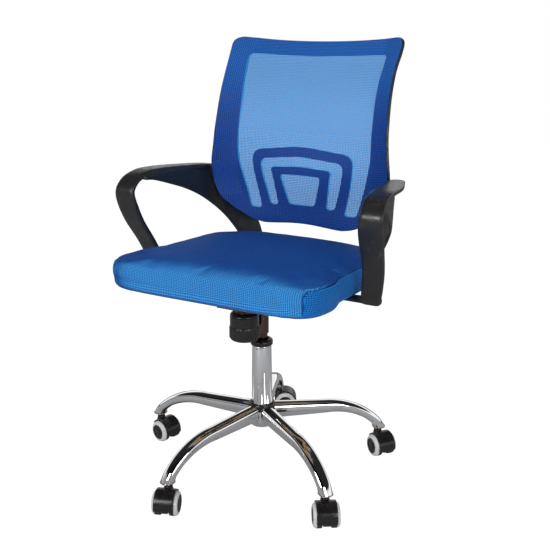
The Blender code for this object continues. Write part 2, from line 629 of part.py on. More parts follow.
def housing_mesh():
    """Open-topped pressed box with a socket for the gas cylinder and holes for pin, bolt and lever."""
    half, sheet = HOUSING_HALF_WIDTH, HOUSING_SHEET
    length = HOUSING_REAR - HOUSING_FRONT
    form = bmesh.new()
    bmesh.ops.create_cube(form, size=1.0)
    bmesh.ops.scale(form, vec=(2 * half, length, 1), verts=form.verts)
    bmesh.ops.translate(form, vec=(0, (HOUSING_REAR + HOUSING_FRONT) / 2, 0), verts=form.verts)
    knee = PIVOT_Y + 0.004
    bmesh.ops.bisect_plane(form, geom=[*form.verts, *form.edges, *form.faces], plane_co=(0, knee, 0),
                           plane_no=(0, 1, 0))
    top = [face for face in form.faces if face.normal.z > 0.9]
    bmesh.ops.delete(form, geom=top, context="FACES")
    for vertex in form.verts:
        if vertex.co.z < 0:
            vertex.co.z = HOUSING_FLOOR
        else:
            vertex.co.z = HOUSING_WALL_TOP[1] if vertex.co.y > knee + 0.001 else HOUSING_WALL_TOP[0]
    shell = evaluated_mesh(mesh_from(form), [("SOLIDIFY", {"thickness": sheet, "offset": -1.0,
                                                           "use_even_offset": True})])
    socket_low = HOUSING_FLOOR - 0.0165
    socket_top = HOUSING_FLOOR + 0.004
    socket = turned([(0, socket_top), (CYLINDER_R + 0.006, socket_top), (CYLINDER_R + 0.006, HOUSING_FLOOR),
                     (CYLINDER_R + 0.004, socket_low), (0, socket_low)], 24, closed=False)
    bore = rod(CYLINDER_R + 2 * SEAT_GAP, (0, 0, socket_low - 0.01), (0, 0, HOUSING_FLOOR + 0.02), 24)
    bolt_hole = rod(BOLT_R + RUN_GAP, (0, BOLT_Y, HOUSING_FLOOR - 0.01), (0, BOLT_Y, HOUSING_FLOOR + 0.01), 16)
    pin_hole = rod(PIN_R + RUN_GAP, (-0.1, PIVOT_Y, PIVOT_Z), (0.1, PIVOT_Y, PIVOT_Z), 16)
    lever_slot = block((-half - 0.01, -0.0062, LEVER_Z - 0.0070), (-half + 0.01, 0.0062, LEVER_Z + 0.02))
    return combined(shell, ("UNION", socket), ("DIFFERENCE", bore), ("DIFFERENCE", bolt_hole),
                    ("DIFFERENCE", pin_hole), ("DIFFERENCE", lever_slot))


def seat_plate_mesh():
    """Flat plate under the pan with two ears that hang on the tilt pin."""
    tilt = seat_matrix()
    half_x, half_y = PLATE_HALF
    plate = block((-half_x, -half_y, -SEAT_GAP - PLATE_SHEET), (half_x, half_y, -SEAT_GAP))
    inner = HOUSING_HALF_WIDTH + RUN_GAP
    pivot = tilt.inverted() @ Vector((0, PIVOT_Y, PIVOT_Z))
    steps = []
    for side in (-1, 1):
        xs = sorted((side * inner, side * (inner + PLATE_SHEET)))
        outline = rounded_outline([(pivot.y - 0.030, -0.002), (pivot.y - 0.012, -FLANGE_REACH - 0.002),
                                   (pivot.y + 0.012, -FLANGE_REACH - 0.002), (pivot.y + 0.022, -0.002)], 0.006)
        ear = loft([[Vector((x, p[0], p[1])) for p in outline] for x in xs])
        steps.append(("UNION", ear))
    plate = combined(plate, *steps)
    pin_hole = rod(PIN_R + RUN_GAP, (-0.1, pivot.y, pivot.z), (0.1, pivot.y, pivot.z), 16)
    return moved(combined(plate, ("DIFFERENCE", pin_hole)), tilt)


def spring_mesh(low, high):
    """Compression spring round the tension bolt."""
    points_per_turn = 8
    count = int(SPRING_TURNS * points_per_turn)
    data = bpy.data.curves.new("spring", "CURVE")
    data.dimensions = "3D"
    data.bevel_depth = SPRING_WIRE_R
    data.bevel_resolution = 2
    data.use_fill_caps = True
    coil = data.splines.new("POLY")
    coil.points.add(count)
    for i, point in enumerate(coil.points):
        angle = 2 * pi * i / points_per_turn
        z = low + SPRING_WIRE_R + (high - low - 2 * SPRING_WIRE_R) * i / count
        point.co = (SPRING_R * cos(angle), BOLT_Y + SPRING_R * sin(angle), z, 1)
    return evaluated_mesh(data)


def knob_mesh():
    """Hollow tension knob: flared fluted grip, shoulder and neck round the spring."""
    low_r, high_r = KNOB_R
    bore = SPRING_R + SPRING_WIRE_R + 0.0008
    floor = KNOB_BOTTOM + 0.008
    waist = (KNOB_BOTTOM + KNOB_TOP) / 2
    knob = turned([
        (KNOB_NECK_R, KNOB_NECK_TOP), (KNOB_NECK_R, KNOB_TOP), (high_r - 0.006, KNOB_TOP),
        (high_r - 0.001, KNOB_TOP - 0.003), (high_r, KNOB_TOP - 0.008), (high_r, waist), (low_r - 0.0005, waist - 0.004),
        (low_r, KNOB_BOTTOM + 0.004), (low_r - 0.003, KNOB_BOTTOM), (BOLT_R + RUN_GAP, KNOB_BOTTOM),
        (BOLT_R + RUN_GAP, floor), (bore, floor), (bore, KNOB_NECK_TOP)], 2 * KNOB_FLUTES)
    for vertex in knob.vertices:
        radius = hypot(vertex.co.x, vertex.co.y)
        if radius > low_r - 0.0035 and vertex.co.z < waist:
            step = round(atan2(vertex.co.y, vertex.co.x) * KNOB_FLUTES / pi)
            vertex.co.x *= 1 - KNOB_FLUTE_SHARE * (step % 2)
            vertex.co.y *= 1 - KNOB_FLUTE_SHARE * (step % 2)
    return moved(knob, Matrix.Translation((0, BOLT_Y, 0)))


def build_mechanism(lift, tilt_axis):
    """Housing on the gas cylinder, tilting plate, tension bolt, spring and knob, and the height lever."""
    hang(add_piece("mechanism_housing", housing_mesh(), DARK_STEEL), lift)
    hang(add_piece("seat_plate", seat_plate_mesh(), DARK_STEEL), tilt_axis)
    head_x = HOUSING_HALF_WIDTH + RUN_GAP + PLATE_SHEET + RUN_GAP
    pin = turned([(0, head_x + 0.004), (0.008, head_x + 0.004), (0.008, head_x), (PIN_R, head_x), (PIN_R, -head_x),
                  (0.008, -head_x), (0.008, -head_x - 0.004), (0, -head_x - 0.004)], 16, closed=False)
    pin = moved(pin, Matrix.Translation((0, PIVOT_Y, PIVOT_Z)) @ Matrix.Rotation(pi / 2, 4, "Y"))
    hang(add_piece("tilt_pin", pin, STEEL), lift)

    bolt_axis = add_anchor("tension_bolt_axis", (0, BOLT_Y, 0), lift)
    plate_under = seat_matrix() @ Vector((0, BOLT_Y + BOLT_HEAD_R, -SEAT_GAP - PLATE_SHEET))
    head_top = plate_under.z - 2 * SEAT_GAP
    nut_low = KNOB_BOTTOM - 0.001
    bolt = turned([(0, head_top), (BOLT_HEAD_R - 0.001, head_top), (BOLT_HEAD_R, head_top - 0.001),
                   (BOLT_HEAD_R, head_top - 0.005), (BOLT_R, head_top - 0.005), (BOLT_R, nut_low - SEAT_GAP),
                   (BOLT_R + 0.002, nut_low - SEAT_GAP), (BOLT_R + 0.002, nut_low - 0.003), (0, nut_low - 0.003)],
                  16, (0, BOLT_Y, 0), closed=False)
    hang(add_piece("tension_bolt", bolt, STEEL), bolt_axis)
    knob_floor = KNOB_BOTTOM + 0.008
    spring = spring_mesh(knob_floor + SEAT_GAP, HOUSING_FLOOR - SEAT_GAP)
    hang(add_piece("tension_spring", spring, STEEL), lift)
    hang(add_piece("tension_knob", knob_mesh(), GLOSS_BLACK), bolt_axis)

    wall_x = -HOUSING_HALF_WIDTH + HOUSING_SHEET / 2
    lever_axis = add_anchor("lever_axis", (wall_x, 0, LEVER_Z), lift)
    bush_r = 0.0055
    bush = turned([(bush_r, 0.008), (bush_r, -0.008), (LEVER_R + RUN_GAP, -0.008), (LEVER_R + RUN_GAP, 0.008)], 16)
    bush = moved(bush, Matrix.Translation((wall_x, 0, LEVER_Z)) @ Matrix.Rotation(pi / 2, 4, "Y"))
    hang(add_piece("lever_bush", bush, GLOSS_BLACK), lever_axis)
    data = bpy.data.curves.new("lever", "CURVE")
    data.dimensions = "3D"
    data.bevel_depth = LEVER_R
    data.bevel_resolution = 2
    data.use_fill_caps = True
    low = LEVER_Z - LEVER_DROP
    route = [Vector((0.014, 0, LEVER_Z)), *spline([(-0.062, 0, LEVER_Z), (-0.074, 0, LEVER_Z),
                                                   (-0.100, 0, LEVER_Z - 0.010), (-0.124, 0, low),
                                                   (-0.160, 0, low), (LEVER_TIP_X, 0, low)], 3)]
    run = data.splines.new("POLY")
    run.points.add(len(route) - 1)
    for point, place in zip(run.points, route):
        point.co = (*place, 1)
    hang(add_piece("lever_rod", evaluated_mesh(data), STEEL), lever_axis)
    length, depth, height = PADDLE_SIZE
    bore_depth = 0.030
    paddle = moved(block((-length / 2, -depth / 2, -height / 2), (length / 2, depth / 2, height / 2)),
                   Matrix.Translation((LEVER_TIP_X - length / 2 + bore_depth, 0, low)))
    paddle = evaluated_mesh(paddle, [("BEVEL", {"width": 0.0022, "segments": 2, "limit_method": "NONE"})])
    socket = rod(LEVER_R + SEAT_GAP, (LEVER_TIP_X - SEAT_GAP, 0, low), (0, 0, low), 12)
    hang(add_piece("lever_paddle", combined(paddle, ("DIFFERENCE", socket)), GLOSS_BLACK), lever_axis)


# ---- seat -------------------------------------------------------------------------------------------------
def seat_half_width(y):
    """Half the seat's width at a place from front to rear: fuller ahead of the armrests."""
    start, full = SEAT_FLARE_Y
    share = min(1.0, max(0.0, (start - y) / (start - full)))
    return SEAT_HALF_WIDTH + SEAT_FLARE * share * share * (3 - 2 * share)


def plan_point(across, along, inset=0.0):
    """Map a square (-1..1) onto the seat's rounded plan; along is -1 at the front."""
    reach = max(abs(across), abs(along))
    if reach == 0:
        return 0.0, (SEAT_FRONT + SEAT_REAR) / 2
    edge = (abs(across / reach) ** SEAT_ROUNDING + abs(along / reach) ** SEAT_ROUNDING) ** (-1 / SEAT_ROUNDING)
    half_y = (SEAT_REAR - SEAT_FRONT) / 2 - inset
    y = (SEAT_FRONT + SEAT_REAR) / 2 + along * edge * half_y
    return across * edge * (seat_half_width(y) - inset), y


def gusset_inset(share):
    """How far the side lies inside its fullest line, from the bottom (0) to the seam (1)."""
    fullest = 0.62
    low, high = GUSSET_INSET
    if share < fullest:
        return low * ((fullest - share) / fullest) ** 2
    return high * ((share - fullest) / (1 - fullest)) ** 2


def cushion_mesh():
    """Plain closed cushion: a full gusset up to the seam and a crowned top that rolls over the front."""
    form = bmesh.new()
    bmesh.ops.create_cube(form, size=2.0)
    bmesh.ops.subdivide_edges(form, edges=form.edges, cuts=6, use_grid_fill=True)
    low = PAN_THICKNESS + SEAT_GAP
    front_crown, rear_crown = SEAT_CROWN
    for vertex in form.verts:
        across, along, level = vertex.co
        share = (level + 1) / 2
        x, y = plan_point(across, along, gusset_inset(share))
        crown = front_crown + (rear_crown - front_crown) * (along + 1) / 2
        dome = (1 - abs(across) ** 3.5) * (1 - abs(along) ** 5) if share > 0.999 else 0.0
        vertex.co = (x, y, low + (GUSSET_HEIGHT - low) * share + crown * dome)
    return moved(mesh_from(form), seat_matrix())


def pan_mesh(screw_places):
    """Moulded board under the cushion, with blind holes for the armrest screws."""
    count = 32
    outline = []
    for i in range(count):
        angle = 2 * pi * i / count
        across, along = cos(angle), sin(angle)
        reach = max(abs(across), abs(along))
        outline.append(plan_point(across / reach, along / reach, PAN_INSET))
    board = loft([[Vector((x, y, z)) for x, y in outline] for z in (0.0, PAN_THICKNESS)])
    holes = [("DIFFERENCE", rod(SCREW_R + SEAT_GAP, (x, y, -0.01), (x, y, SCREW_DEPTH + SEAT_GAP), 12))
             for x, y in screw_places]
    return moved(combined(board, *holes), seat_matrix())


# ---- armrests ---------------------------------------------------------------------------------------------
def ribbon_rings(extra=0.0):
    """Sections of the ribbon from the front foot over the top; extra makes it fatter all round."""
    stations = spline(RIBBON_ROUTE, 2)
    middle = Vector((0.27, 0.06, 0.58))
    rings = []
    for i, station in enumerate(stations):
        ahead = stations[min(i + 1, len(stations) - 1)]
        behind = stations[max(i - 1, 0)]
        along = Vector((0, ahead[1] - behind[1], ahead[2] - behind[2])).normalized()
        inward = Vector((0, -along.z, along.y))
        centre = Vector(station[:3]) + Vector((ARM_SPREAD, 0, 0))
        if inward.dot(middle - centre) < 0:
            inward.negate()
        side = Vector((station[3] / 2 + extra, 0, 0))
        start = centre - inward * extra
        rings.append(strip_ring(start - side, start + side, inward, RIBBON_THICKNESS + 2 * extra))
    return rings


def strap_rings(extra=0.0):
    """Sections of the strap from inside the ribbon down behind the seat; extra makes it fatter all round."""
    spread = Vector((ARM_SPREAD, 0, 0))
    lower = spline([Vector(edge[0]) + spread for edge in STRAP_ROUTE], 2)
    upper = spline([Vector(edge[1]) + spread for edge in STRAP_ROUTE], 2)
    rings = []
    for i, (low, high) in enumerate(zip(lower, upper)):
        ahead, behind = min(i + 1, len(lower) - 1), max(i - 1, 0)
        along = (lower[ahead] + upper[ahead] - lower[behind] - upper[behind]).normalized()
        across = (high - low).normalized()
        normal = along.cross(across).normalized()
        if normal.x > 0:
            normal.negate()
        outer = normal * -(STRAP_THICKNESS / 2 + extra)
        rings.append(strip_ring(low + outer - across * extra, high + outer + across * extra, normal,
                                STRAP_THICKNESS + 2 * extra))
    return rings


def armrest_mesh(screw_places):
    """One moulded loop for +X: ribbon, strap, both feet and their screw holes."""
    tilt = seat_matrix()
    under = -SEAT_GAP
    x_low, x_high = FRONT_FOOT_X
    y_low, y_high = FRONT_FOOT_Y
    foot = block((x_low, y_low, under - FOOT_THICKNESS), (x_high - FRONT_FOOT_CORNER_R, y_high, under))
    first = RIBBON_ROUTE[0]
    first_x = first[0] + ARM_SPREAD
    left, right = first_x - first[3] / 2, x_high
    bottom = SEAT_Z + under - FOOT_THICKNESS
    heel_top = first[2] + 0.004
    heel_outline = [(left, bottom), *_quarter(right, bottom, FRONT_FOOT_CORNER_R), (first_x + first[3] / 2, heel_top),
                    (left, heel_top)]
    heel = prism(heel_outline, y_low - 0.0005, y_low + RIBBON_THICKNESS)
    rear = block((REAR_FOOT_X[0], REAR_FOOT_Y[0], under - FOOT_THICKNESS), (REAR_FOOT_X[1], REAR_FOOT_Y[1], under))
    arm = combined(loft(ribbon_rings()), ("UNION", loft(strap_rings())), ("UNION", heel),
                   ("UNION", moved(foot, tilt)), ("UNION", moved(rear, tilt)))
    holes = [("DIFFERENCE", moved(rod(SCREW_R + SEAT_GAP, (x, y, -0.05), (x, y, 0.02), 12), tilt))
             for x, y in screw_places]
    bolt_end = BOSS_X[1] - 0.004
    blind = rod(BACK_BOLT_R + SEAT_GAP, (BOSS_X[0], BOSS_Y, BOSS_Z), (bolt_end, BOSS_Y, BOSS_Z), 12)
    return combined(arm, *holes, ("DIFFERENCE", blind))


def _quarter(right, bottom, radius, steps=5):
    """Rounded outer bottom corner of the heel, from its bottom edge up to its side."""
    return [(right - radius + radius * sin(pi / 2 * i / steps), bottom + radius - radius * cos(pi / 2 * i / steps))
            for i in range(steps + 1)]


def build_seat_and_arms(tilt_axis):
    """Pan, cushion, both armrests and the screws that hold them to the pan."""
    tilt = seat_matrix()
    places = ((FRONT_SCREW_X, (FRONT_FOOT_Y[0] + FRONT_FOOT_Y[1]) / 2), REAR_SCREW)
    both = [(side * x, y) for side in (1, -1) for x, y in places]
    hang(add_piece("seat_pan", pan_mesh(both), WOOD), tilt_axis)
    hang(add_piece("seat_cushion", cushion_mesh(), BLUE_SEAT), tilt_axis)
    head_r, head_height = SCREW_HEAD
    head_low = -SEAT_GAP - FOOT_THICKNESS - SEAT_GAP
    screw = [(0, SCREW_DEPTH - SEAT_GAP), (SCREW_R, SCREW_DEPTH - SEAT_GAP), (SCREW_R, head_low), (head_r, head_low),
             (head_r, head_low - head_height * 0.6), (head_r * 0.6, head_low - head_height),
             (0, head_low - head_height)]
    for label, side in (("left", 1), ("right", -1)):
        arm = armrest_mesh(places)
        if side < 0:
            arm.transform(Matrix.Scale(-1, 4, (1, 0, 0)))
            arm.flip_normals()
        hang(add_piece(f"armrest_{label}", arm, BLACK), tilt_axis)
        for end, (x, y) in zip(("front", "rear"), places):
            made = moved(turned(screw, 12, (side * x, y, 0), closed=False), tilt)
            hang(add_piece(f"foot_screw_{end}_{label}", made, STEEL), tilt_axis)


# ---- backrest ---------------------------------------------------------------------------------------------
def back_station(height):
    """Half width and outer-edge y of the back at a height, read along the smooth outline."""
    for low, high in zip(BACK_STATIONS, BACK_STATIONS[1:]):
        if height <= high[0]:
            t = (height - low[0]) / (high[0] - low[0])
            return low[1] + (high[1] - low[1]) * t, low[2] + (high[2] - low[2]) * t
    return BACK_STATIONS[-1][1:]


def back_point(across, height):
    """A point of the back's front surface; across runs from -1 to 1 between the outer edges."""
    half, edge_y = back_station(height)
    x = across * half
    inner = half - MEMBER_WIDTH
    wrap = min(1.0, max(0.0, (abs(x) - inner) / MEMBER_WIDTH)) ** 1.5
    bump_x = max(0.0, 1 - (x / LUMBAR_HALF[0]) ** 2)
    bump_z = max(0.0, 1 - ((height - LUMBAR_CENTRE_Z) / LUMBAR_HALF[1]) ** 2)
    y = edge_y + BACK_WRAP * (1 - wrap) - LUMBAR_BULGE * bump_x ** 2 * bump_z ** 2
    bottom, top = BACK_STATIONS[0][0], BACK_STATIONS[-1][0]
    middle = 1 - across ** 2
    to_top = max(0.0, 1 - (top - height) / 0.06)
    to_bottom = max(0.0, 1 - (height - bottom) / 0.05)
    return Vector((x, y, height - TOP_DIP * middle * to_top + BOTTOM_RISE * middle * to_bottom))


def back_sheet(columns, offset, thickness):
    """A curved sheet that follows the back: offset moves its rear face forward of the frame's front face."""
    heights = []
    for low, high in zip(BACK_STATIONS, BACK_STATIONS[1:]):
        steps = max(1, ceil((high[0] - low[0]) / 0.035))
        heights += [low[0] + (high[0] - low[0]) * i / steps for i in range(steps)]
    heights.append(BACK_STATIONS[-1][0])
    form = bmesh.new()
    rows = [[form.verts.new(back_point(sin(pi / 2 * (2 * i / columns - 1)), z)) for i in range(columns + 1)]
            for z in heights]
    for row, after in zip(rows, rows[1:]):
        for i in range(columns):
            form.faces.new((row[i], row[i + 1], after[i + 1], after[i]))
    bmesh.ops.triangulate(form, faces=form.faces, quad_method="FIXED")
    form.normal_update()
    for vertex in form.verts:
        vertex.co += vertex.normal * offset
    mesh = bpy.data.meshes.new("back_sheet")
    form.to_mesh(mesh)
    form.free()
    return evaluated_mesh(mesh, [("SOLIDIFY", {"thickness": thickness, "offset": -1.0})])


def frame_cutters():
    """The frame's openings: the window round the outer arch, the slot between the arches and the inner one."""
    reach = (0.10, 0.40)
    window = [*WINDOW_SIDE[:-1], WINDOW_SIDE[-1], *[(-x, z) for x, z in reversed(WINDOW_SIDE[:-1])],
              *[(-x, z) for x, z in OUTER_ARCH[:-1]], OUTER_ARCH[-1], *reversed(OUTER_ARCH[:-1])]
    slot = [*OUTER_ARCH_INSIDE, *[(-x, z) for x, z in reversed(OUTER_ARCH_INSIDE[:-1])],
            *[(-x, z) for x, z in INNER_ARCH[:-1]], INNER_ARCH[-1], *reversed(INNER_ARCH[:-1])]
    inner = mirrored(INNER_ARCH_INSIDE)
    return [("DIFFERENCE", prism(rounded_outline(outline, CUTOUT_CORNER_R), *reach))
            for outline in (window, slot, inner)]


def build_back(tilt_axis):
    """Moulded frame with lumbar arches and bosses for the armrests, the mesh over it and its two bolts."""
    sheet = back_sheet(14, 0.0, FRAME_THICKNESS)
    steps = frame_cutters()
    start, end = BOSS_X
    for side in (1, -1):
        flip = Matrix.Scale(side, 4, (1, 0, 0))
        boss = loft([[Vector((x, BOSS_Y, BOSS_Z)) + Vector((0, cos(2 * pi * i / 16), sin(2 * pi * i / 16))) * BOSS_R
                      for i in range(16)] for x in (side * start, side * (end - 0.008))])
        root = sorted((side * (start + 0.0013), side * (start + 0.018)))
        bulk = block((root[0], BOSS_Y - 0.0135, BOSS_Z - BOSS_R * 1.2), (root[1], BOSS_Y - 0.001, BOSS_Z + BOSS_R * 1.2))
        clear = loft(strap_rings(SEAT_GAP))
        if side < 0:
            clear.transform(flip)
            clear.flip_normals()
        bore = rod(BACK_BOLT_R + SEAT_GAP, (side * (start - 0.01), BOSS_Y, BOSS_Z), (side * end, BOSS_Y, BOSS_Z), 12)
        steps += [("UNION", boss), ("UNION", bulk), ("DIFFERENCE", clear), ("DIFFERENCE", bore)]
    hang(add_piece("back_frame", combined(sheet, *steps), BLACK), tilt_axis)
    mesh = back_sheet(14, MESH_GAP + MESH_THICKNESS, MESH_THICKNESS)
    hang(add_piece("back_mesh", mesh, BLUE_MESH), tilt_axis)
    length = BOSS_X[1] - 0.004 - SEAT_GAP - BOSS_X[0]
    head_r, head_height = SCREW_HEAD
    profile = [(0, length), (BACK_BOLT_R, length), (BACK_BOLT_R, -SEAT_GAP), (head_r, -SEAT_GAP),
               (head_r, -head_height), (0, -head_height)]
    for label, side in (("left", 1), ("right", -1)):
        bolt = moved(turned(profile, 12, closed=False),
                     Matrix.Translation((side * BOSS_X[0], BOSS_Y, BOSS_Z)) @ Matrix.Rotation(side * pi / 2, 4, "Y"))
        hang(add_piece(f"back_bolt_{label}", bolt, STEEL), tilt_axis)


# ---- whole chair ------------------------------------------------------------------------------------------
def centre_on_origin(chair):
    """Move the chair so that its box stands centred on the origin."""
    bpy.context.view_layer.update()
    graph = bpy.context.evaluated_depsgraph_get()
    corners = []
    for piece in bpy.data.collections[PARTS].objects:
        if piece.type == "MESH":
            shape = piece.evaluated_get(graph)
            corners += [shape.matrix_world @ vertex.co for vertex in shape.data.vertices]
    low = [min(corner[i] for corner in corners) for i in range(3)]
    high = [max(corner[i] for corner in corners) for i in range(3)]
    chair.location = (-(low[0] + high[0]) / 2, -(low[1] + high[1]) / 2, -low[2])


def main():
    clear_scene()
    chair = add_anchor("chair", (0, 0, 0))
    rod_axis = add_anchor("swivel_axis", (0, 0, COLUMN_BOTTOM), chair)
    lift = add_anchor("height_axis", (0, 0, CYLINDER_BOTTOM - COLUMN_BOTTOM), rod_axis)
    tilt_axis = add_anchor("tilt_axis", (0, PIVOT_Y, PIVOT_Z - CYLINDER_BOTTOM), lift)
    build_base(chair)
    build_casters(chair)
    build_gas_lift(chair, rod_axis, lift)
    build_mechanism(lift, tilt_axis)
    build_seat_and_arms(tilt_axis)
    build_back(tilt_axis)
    centre_on_origin(chair)
    bpy.context.view_layer.update()


main()
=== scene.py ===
"""Looks of a swivel office chair: mesh back, padded seat, loop armrests, gas lift and a chromed star base.

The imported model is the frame. Every sub-assembly is a class that holds its sizes and builds its meshes from
the gas-lift axis (x = y = 0, floor at z = 0, facing -Y). It hands them to the bench, which moves them into
the frame. Metres throughout; azimuths run from -Y towards +X.
"""

import logging
from collections.abc import Callable, Sequence
from dataclasses import dataclass, field
from enum import Enum
from math import atan2, cos, hypot, pi, radians, sin, sqrt

import bmesh
import bpy
import numpy as np
from bmesh.types import BMEdge, BMesh, BMVert
from bpy.types import Material, Mesh, Node, NodeSocket, NodeTree, Object
from mathutils import Matrix, Vector, noise
from mathutils.bvhtree import BVHTree

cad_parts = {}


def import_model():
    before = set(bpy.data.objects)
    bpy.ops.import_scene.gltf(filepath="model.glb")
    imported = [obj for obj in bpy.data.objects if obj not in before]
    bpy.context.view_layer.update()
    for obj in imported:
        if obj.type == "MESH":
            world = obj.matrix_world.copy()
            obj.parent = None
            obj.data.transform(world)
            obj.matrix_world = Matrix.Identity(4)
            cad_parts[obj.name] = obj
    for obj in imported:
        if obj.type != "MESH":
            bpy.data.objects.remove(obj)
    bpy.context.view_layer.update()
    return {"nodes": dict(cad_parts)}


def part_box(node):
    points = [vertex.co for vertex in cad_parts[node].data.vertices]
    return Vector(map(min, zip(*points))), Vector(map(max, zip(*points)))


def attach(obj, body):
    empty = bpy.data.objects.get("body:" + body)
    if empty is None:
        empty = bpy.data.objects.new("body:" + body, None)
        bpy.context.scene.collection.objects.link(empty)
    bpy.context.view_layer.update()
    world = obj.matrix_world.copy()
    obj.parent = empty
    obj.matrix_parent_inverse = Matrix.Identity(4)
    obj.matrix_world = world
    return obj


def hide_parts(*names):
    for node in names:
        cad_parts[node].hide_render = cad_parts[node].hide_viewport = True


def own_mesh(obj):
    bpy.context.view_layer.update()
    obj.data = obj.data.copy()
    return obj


LOG = logging.getLogger("office_chair")
FULL_TURN = 2 * pi
WELD = 1e-6
Point2 = tuple[float, float]
Colour = tuple[float, float, float]


class Side(Enum):
    """The sitter's two sides, as the sign of X."""

    LEFT = 1
    RIGHT = -1

    @property
    def word(self) -> str:
        """The side's name as piece names use it."""
        return self.name.lower()


# ---- shader parts shared by several finishes -----------------------------------------------------------
class NodeSheet:
    """A node tree with short calls that place nodes and wire them."""

    def __init__(self, tree: NodeTree) -> None:
        """Keep the tree that the calls work on."""
        self.tree = tree

    def add(self, kind: str, **settings: object) -> Node:
        """Place a node.

        Args:
            kind: The node's type, without the "ShaderNode" that starts it.
            **settings: Attributes to set on it.

        Returns:
            The new node.
        """
        node = self.tree.nodes.new(f"ShaderNode{kind}")
        for key, value in settings.items():
            setattr(node, key, value)
        return node

    def feed(self, socket: NodeSocket, source: object) -> None:
        """Wire a socket to another one, or set it to a plain value.

        Args:
            socket: The input that is fed.
            source: An output socket, a number or a tuple.
        """
        if isinstance(source, bpy.types.NodeSocket):
            self.tree.links.new(source, socket)
        else:
            socket.default_value = source

    def maths(self, operation: str, *terms: object, clamp: bool = False) -> NodeSocket:
        """Place a Math node on one to three terms.

        Args:
            operation: The Math node's operation.
            *terms: Sockets or numbers.
            clamp: Whether to keep the result between 0 and 1.

        Returns:
            The result's socket.
        """
        node = self.add("Math", operation=operation, use_clamp=clamp)
        for socket, term in zip(node.inputs, terms):
            self.feed(socket, term)
        return node.outputs[0]

    def mixed(self, share: object, first: object, second: object) -> NodeSocket:
        """Mix two colours by a share.

        Args:
            share: 0 gives the first colour, 1 the second.
            first: A colour or its socket.
            second: A colour or its socket.

        Returns:
            The mixed colour's socket.
        """
        node = self.add("Mix", data_type="RGBA")
        self.feed(node.inputs[0], share)
        for socket, colour in ((node.inputs[6], first), (node.inputs[7], second)):
            self.feed(socket, (*colour, 1.0) if isinstance(colour, tuple) and len(colour) == 3 else colour)
        return node.outputs[2]

    def ranged(self, value: object, low: float, high: float, to: Point2 = (0.0, 1.0)) -> NodeSocket:
        """Map a value smoothly from one range to another.

        Args:
            value: The socket that is read.
            low: Where the result starts to change.
            high: Where it stops.
            to: The results at low and at high.

        Returns:
            The mapped value's socket.
        """
        node = self.add("MapRange", interpolation_type="SMOOTHSTEP")
        self.feed(node.inputs[0], value)
        for index, number in zip((1, 2, 3, 4), (low, high, *to)):
            node.inputs[index].default_value = number
        return node.outputs[0]


